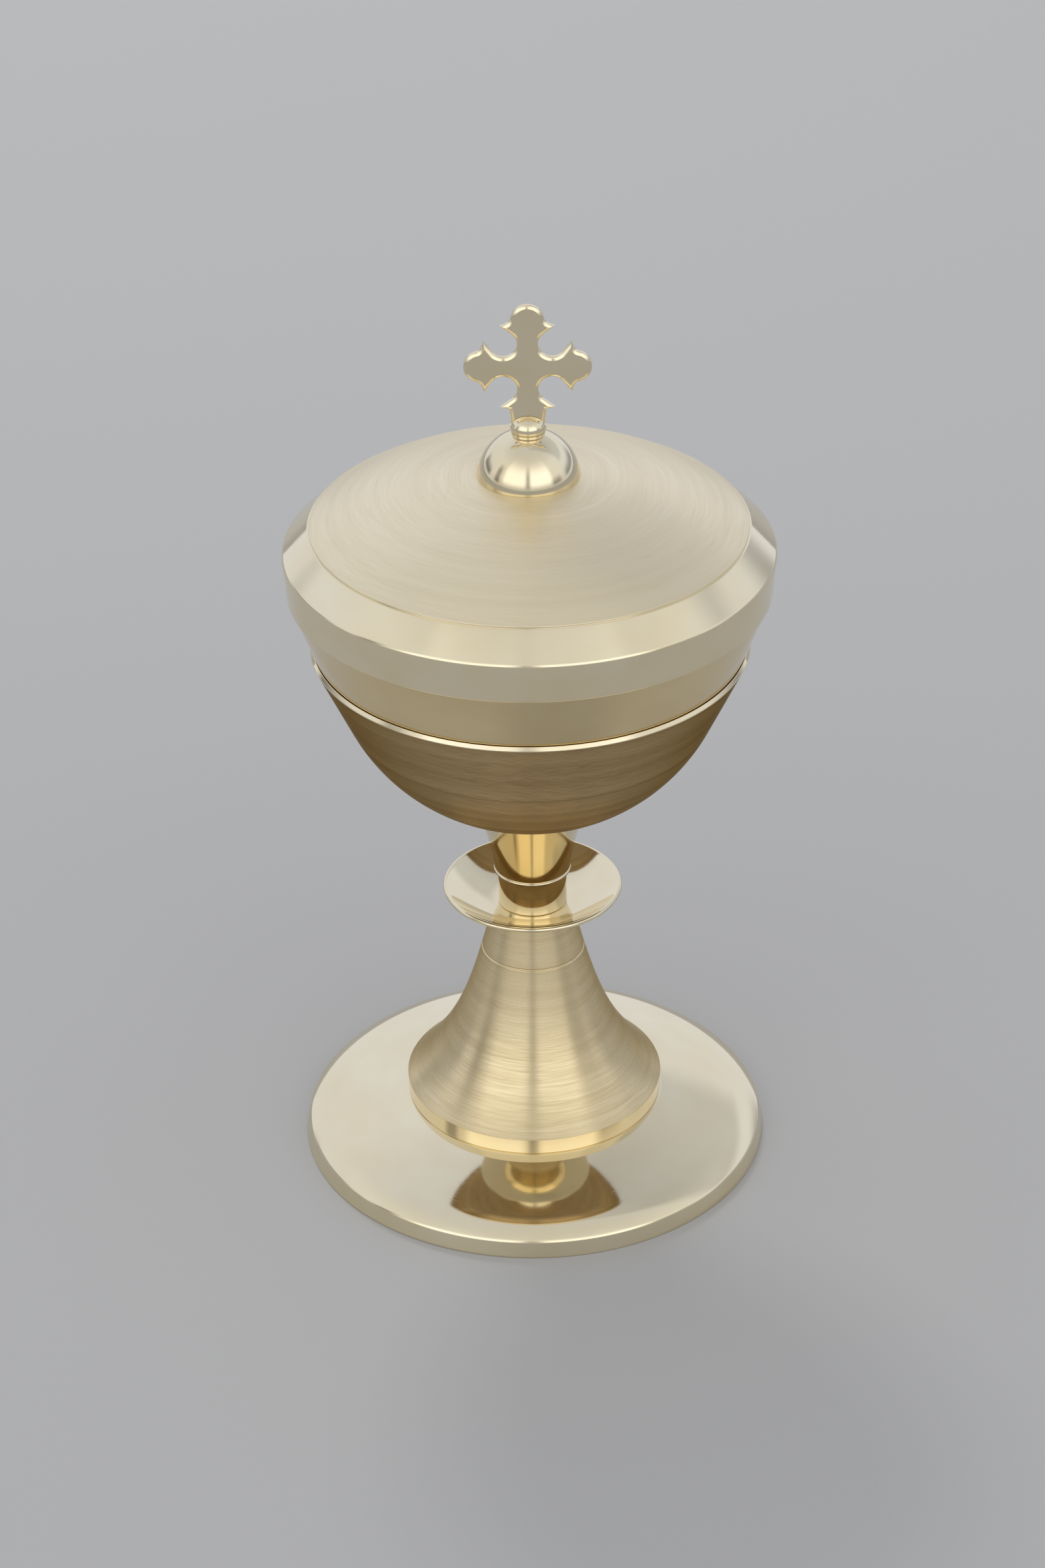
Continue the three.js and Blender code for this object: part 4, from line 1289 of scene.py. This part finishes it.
        normal = np.empty(len(mesh.polygons) * 3)
        mesh.polygons.foreach_get("normal", normal)
        mesh.polygons.foreach_set("use_smooth", np.abs(normal[1::3]) < self.flat_normal)
        return mesh

    def build(self, finishes: Finishes) -> None:
        """Makes and places the pieces of the finial."""
        for node, mesh in (
            ("finial_boss", self.half_ball()),
            ("finial_collar", self.bead()),
            ("cross", self.cross()),
        ):
            Piece(node, Body.LID, Slot.POLISHED, (finishes.polished,)).place(mesh)
        pieces = ("finial_stud", "finial_nut", "finial_washer")
        Fastening(*pieces, Body.LID, pitch=0.7, thread_depth=0.35, nut_across=7.0).build(finishes)


@dataclass(frozen=True)
class Panel:
    """A soft upright panel of the surround, lighter or darker than what lies round it.

    azimuth is measured in degrees from the camera's side, rightwards as the camera sees it. low
    and high are the heights of its lower and upper edge, as the height of a unit direction. It
    fades out over fade above its upper edge, and in over rise shares of that at its lower edge.
    """

    azimuth: float
    half_width: float
    soft: float
    gain: float
    low: float = -0.02
    high: float = 0.5
    fade: float = 0.25
    rise: float = 0.5

    def share(self, recipe: Recipe, azimuth: Value, height: Value) -> bpy.types.NodeSocket:
        """How far a direction lies in the panel, from 0 outside to 1 inside."""
        off = recipe.math("ABSOLUTE", recipe.math("SUBTRACT", azimuth, self.azimuth))
        side = recipe.ranged(off, (self.half_width, self.half_width + self.soft), (1.0, 0.0), soft=True)
        over = recipe.ranged(height, (self.low, self.low + self.rise * self.fade), soft=True)
        under = recipe.ranged(height, (self.high, self.high + self.fade), (1.0, 0.0), soft=True)
        return recipe.math("MULTIPLY", side, recipe.math("MULTIPLY", over, under))


@dataclass(frozen=True)
class Studio:
    """Pale floor, plain soft light and the camera of the photograph."""

    floor_colour: tuple[float, float, float] = (0.46, 0.455, 0.445)
    floor_radius: float = 8.0
    floor_level: float = -0.00002
    floor_roughness: float = 0.7
    floor_specular: float = 0.2
    front_tint: tuple[float, float, float] = (0.98, 0.985, 0.99)
    back_tint: tuple[float, float, float] = (0.92, 0.96, 1.08)
    tint_span: tuple[float, float] = (-0.5, 0.5)
    sky: float = 0.86
    zenith: float = 0.69
    front_horizon: float = 0.62
    back_horizon: float = 0.86
    sky_bottom: float = 0.3
    zenith_start: float = 0.6
    panels: tuple[Panel, ...] = (
        Panel(azimuth=-34.0, half_width=20.0, soft=12.0, gain=0.5, high=0.45, fade=0.5),
        Panel(azimuth=29.0, half_width=19.0, soft=14.0, gain=0.5, high=0.45, fade=0.5),
        Panel(azimuth=-1.0, half_width=1.0, soft=6.0, gain=-0.34, high=0.45, fade=0.4),
        Panel(azimuth=-76.0, half_width=2.0, soft=8.0, gain=-0.45, high=0.4),
        Panel(azimuth=-115.0, half_width=10.0, soft=12.0, gain=-0.6, high=0.1),
        Panel(azimuth=66.0, half_width=6.0, soft=12.0, gain=-0.35, high=0.1),
        Panel(azimuth=118.0, half_width=14.0, soft=20.0, gain=-0.5, high=0.1),
        Panel(azimuth=135.0, half_width=28.0, soft=16.0, gain=-0.2, low=0.42, high=0.85),
    )
    key_place: tuple[float, float, float] = (-0.35, 1.25, 1.6)
    key_size: float = 0.5
    key_power: float = 8.0
    camera_place: tuple[float, float, float] = (0.0, -0.8365, 0.5932)
    pitch: float = 30.69
    yaw: float = -0.146
    roll: float = -0.62
    focal_pixels: float = 6200.0
    picture_height: float = 2353.0
    sensor: float = 36.0
    near: float = 0.01

    def floor(self) -> None:
        """A wide disc under the foot: one ring of points, just below z = 0."""
        turn = np.linspace(0, 2 * math.pi, AROUND_SMALL, endpoint=False)
        radius = self.floor_radius
        rim = np.column_stack(
            (radius * np.cos(turn), radius * np.sin(turn), np.full(AROUND_SMALL, self.floor_level))
        )
        mesh = bpy.data.meshes.new("floor")
        mesh.from_pydata(rim.tolist(), [], [list(range(AROUND_SMALL))])
        recipe = Surface("pale_floor")
        recipe.fixed(
            Base_Color=(*self.floor_colour, 1),
            Roughness=self.floor_roughness,
            Specular_IOR_Level=self.floor_specular,
        )
        mesh.materials.append(recipe.material)
        add_object("floor", mesh)

    def world(self) -> None:
        """The surround: a soft sky, less bright overhead and at the horizon on the camera's side.

        Its strength at a direction rises with the height from the horizon's to the sky's, and
        falls again towards the zenith's. Each panel adds its gain where the direction lies in it.
        The tint goes from the front's to the cooler one behind.
        """
        world = bpy.data.worlds.new("surround")
        world.use_nodes = True
        recipe = Recipe(world.node_tree)
        background = recipe.nodes["Background"]
        direction = recipe.add("ShaderNodeTexCoord").outputs["Generated"]
        x, y, height = recipe.add("ShaderNodeSeparateXYZ", {0: direction}).outputs
        behind = recipe.ranged(y, self.tint_span, soft=True)
        tint = recipe.tinted(behind, self.front_tint, self.back_tint)
        horizon = recipe.ranged(behind, UNIT_SPAN, (self.front_horizon, self.back_horizon))
        risen = recipe.ranged(height, (0.0, self.sky_bottom), soft=True)
        strength = recipe.weighed(risen, recipe.math("SUBTRACT", self.sky, horizon), horizon)
        overhead = recipe.ranged(height, (self.zenith_start, 1.0), (1.0, self.zenith / self.sky), soft=True)
        strength = recipe.math("MULTIPLY", strength, overhead)
        turn = recipe.math("ARCTAN2", x, recipe.math("MULTIPLY", y, -1.0))
        azimuth = recipe.math("MULTIPLY", turn, math.degrees(1.0))
        for panel in self.panels:
            strength = recipe.weighed(panel.share(recipe, azimuth, height), panel.gain, strength)
        recipe.put(background.inputs["Color"], tint)
        recipe.put(background.inputs["Strength"], recipe.math("MAXIMUM", strength, 0.0))
        bpy.context.scene.world = world

    def key(self) -> None:
        """A round soft lamp behind, for the object's shadow on the floor.

        The metal shows the surround and not the lamp, whose hard rim would cross every band.
        """
        data = bpy.data.lights.new("key", "AREA")
        data.shape = "DISK"
        data.size = self.key_size
        data.energy = self.key_power
        lamp = add_object("key", data)
        lamp.location = self.key_place
        lamp.rotation_euler = (-Vector(self.key_place)).to_track_quat("-Z", "Y").to_euler()
        lamp.visible_glossy = False

    def camera(self) -> None:
        """The camera of the photograph, from its place, its three angles and its focal length."""
        pitch, yaw, roll = (math.radians(angle) for angle in (self.pitch, self.yaw, self.roll))
        forward = Vector((math.sin(yaw) * math.cos(pitch), math.cos(yaw) * math.cos(pitch), -math.sin(pitch)))
        right = Vector((math.cos(yaw), -math.sin(yaw), 0))
        up = right.cross(forward)
        across = right * math.cos(roll) + up * math.sin(roll)
        upward = up * math.cos(roll) - right * math.sin(roll)
        data = bpy.data.cameras.new("camera")
        data.sensor_fit = "VERTICAL"
        data.sensor_height = self.sensor
        data.lens = self.sensor * self.focal_pixels / self.picture_height
        data.clip_start = self.near
        camera = add_object("camera", data)
        turn = Matrix((across, upward, -forward)).transposed().to_4x4()
        camera.matrix_world = Matrix.Translation(self.camera_place) @ turn
        bpy.context.scene.camera = camera

    def build(self) -> None:
        """Sets up the camera, the floor, the surround and the lamp."""
        self.camera()
        self.floor()
        self.world()
        self.key()
        bpy.context.scene.view_settings.view_transform = "Standard"


def main() -> None:
    """Builds the studio and every piece."""
    logging.basicConfig(level=logging.INFO, format="%(name)s: %(message)s")
    Studio().build()
    finishes = Finishes.make()
    bowl = Bowl()
    Foot().build(finishes)
    Stem().build(finishes, bowl.neck_seat())
    bowl.build(finishes)
    Lid().build(finishes, bowl)
    Finial().build(finishes)


if __name__ == "__main__":
    main()
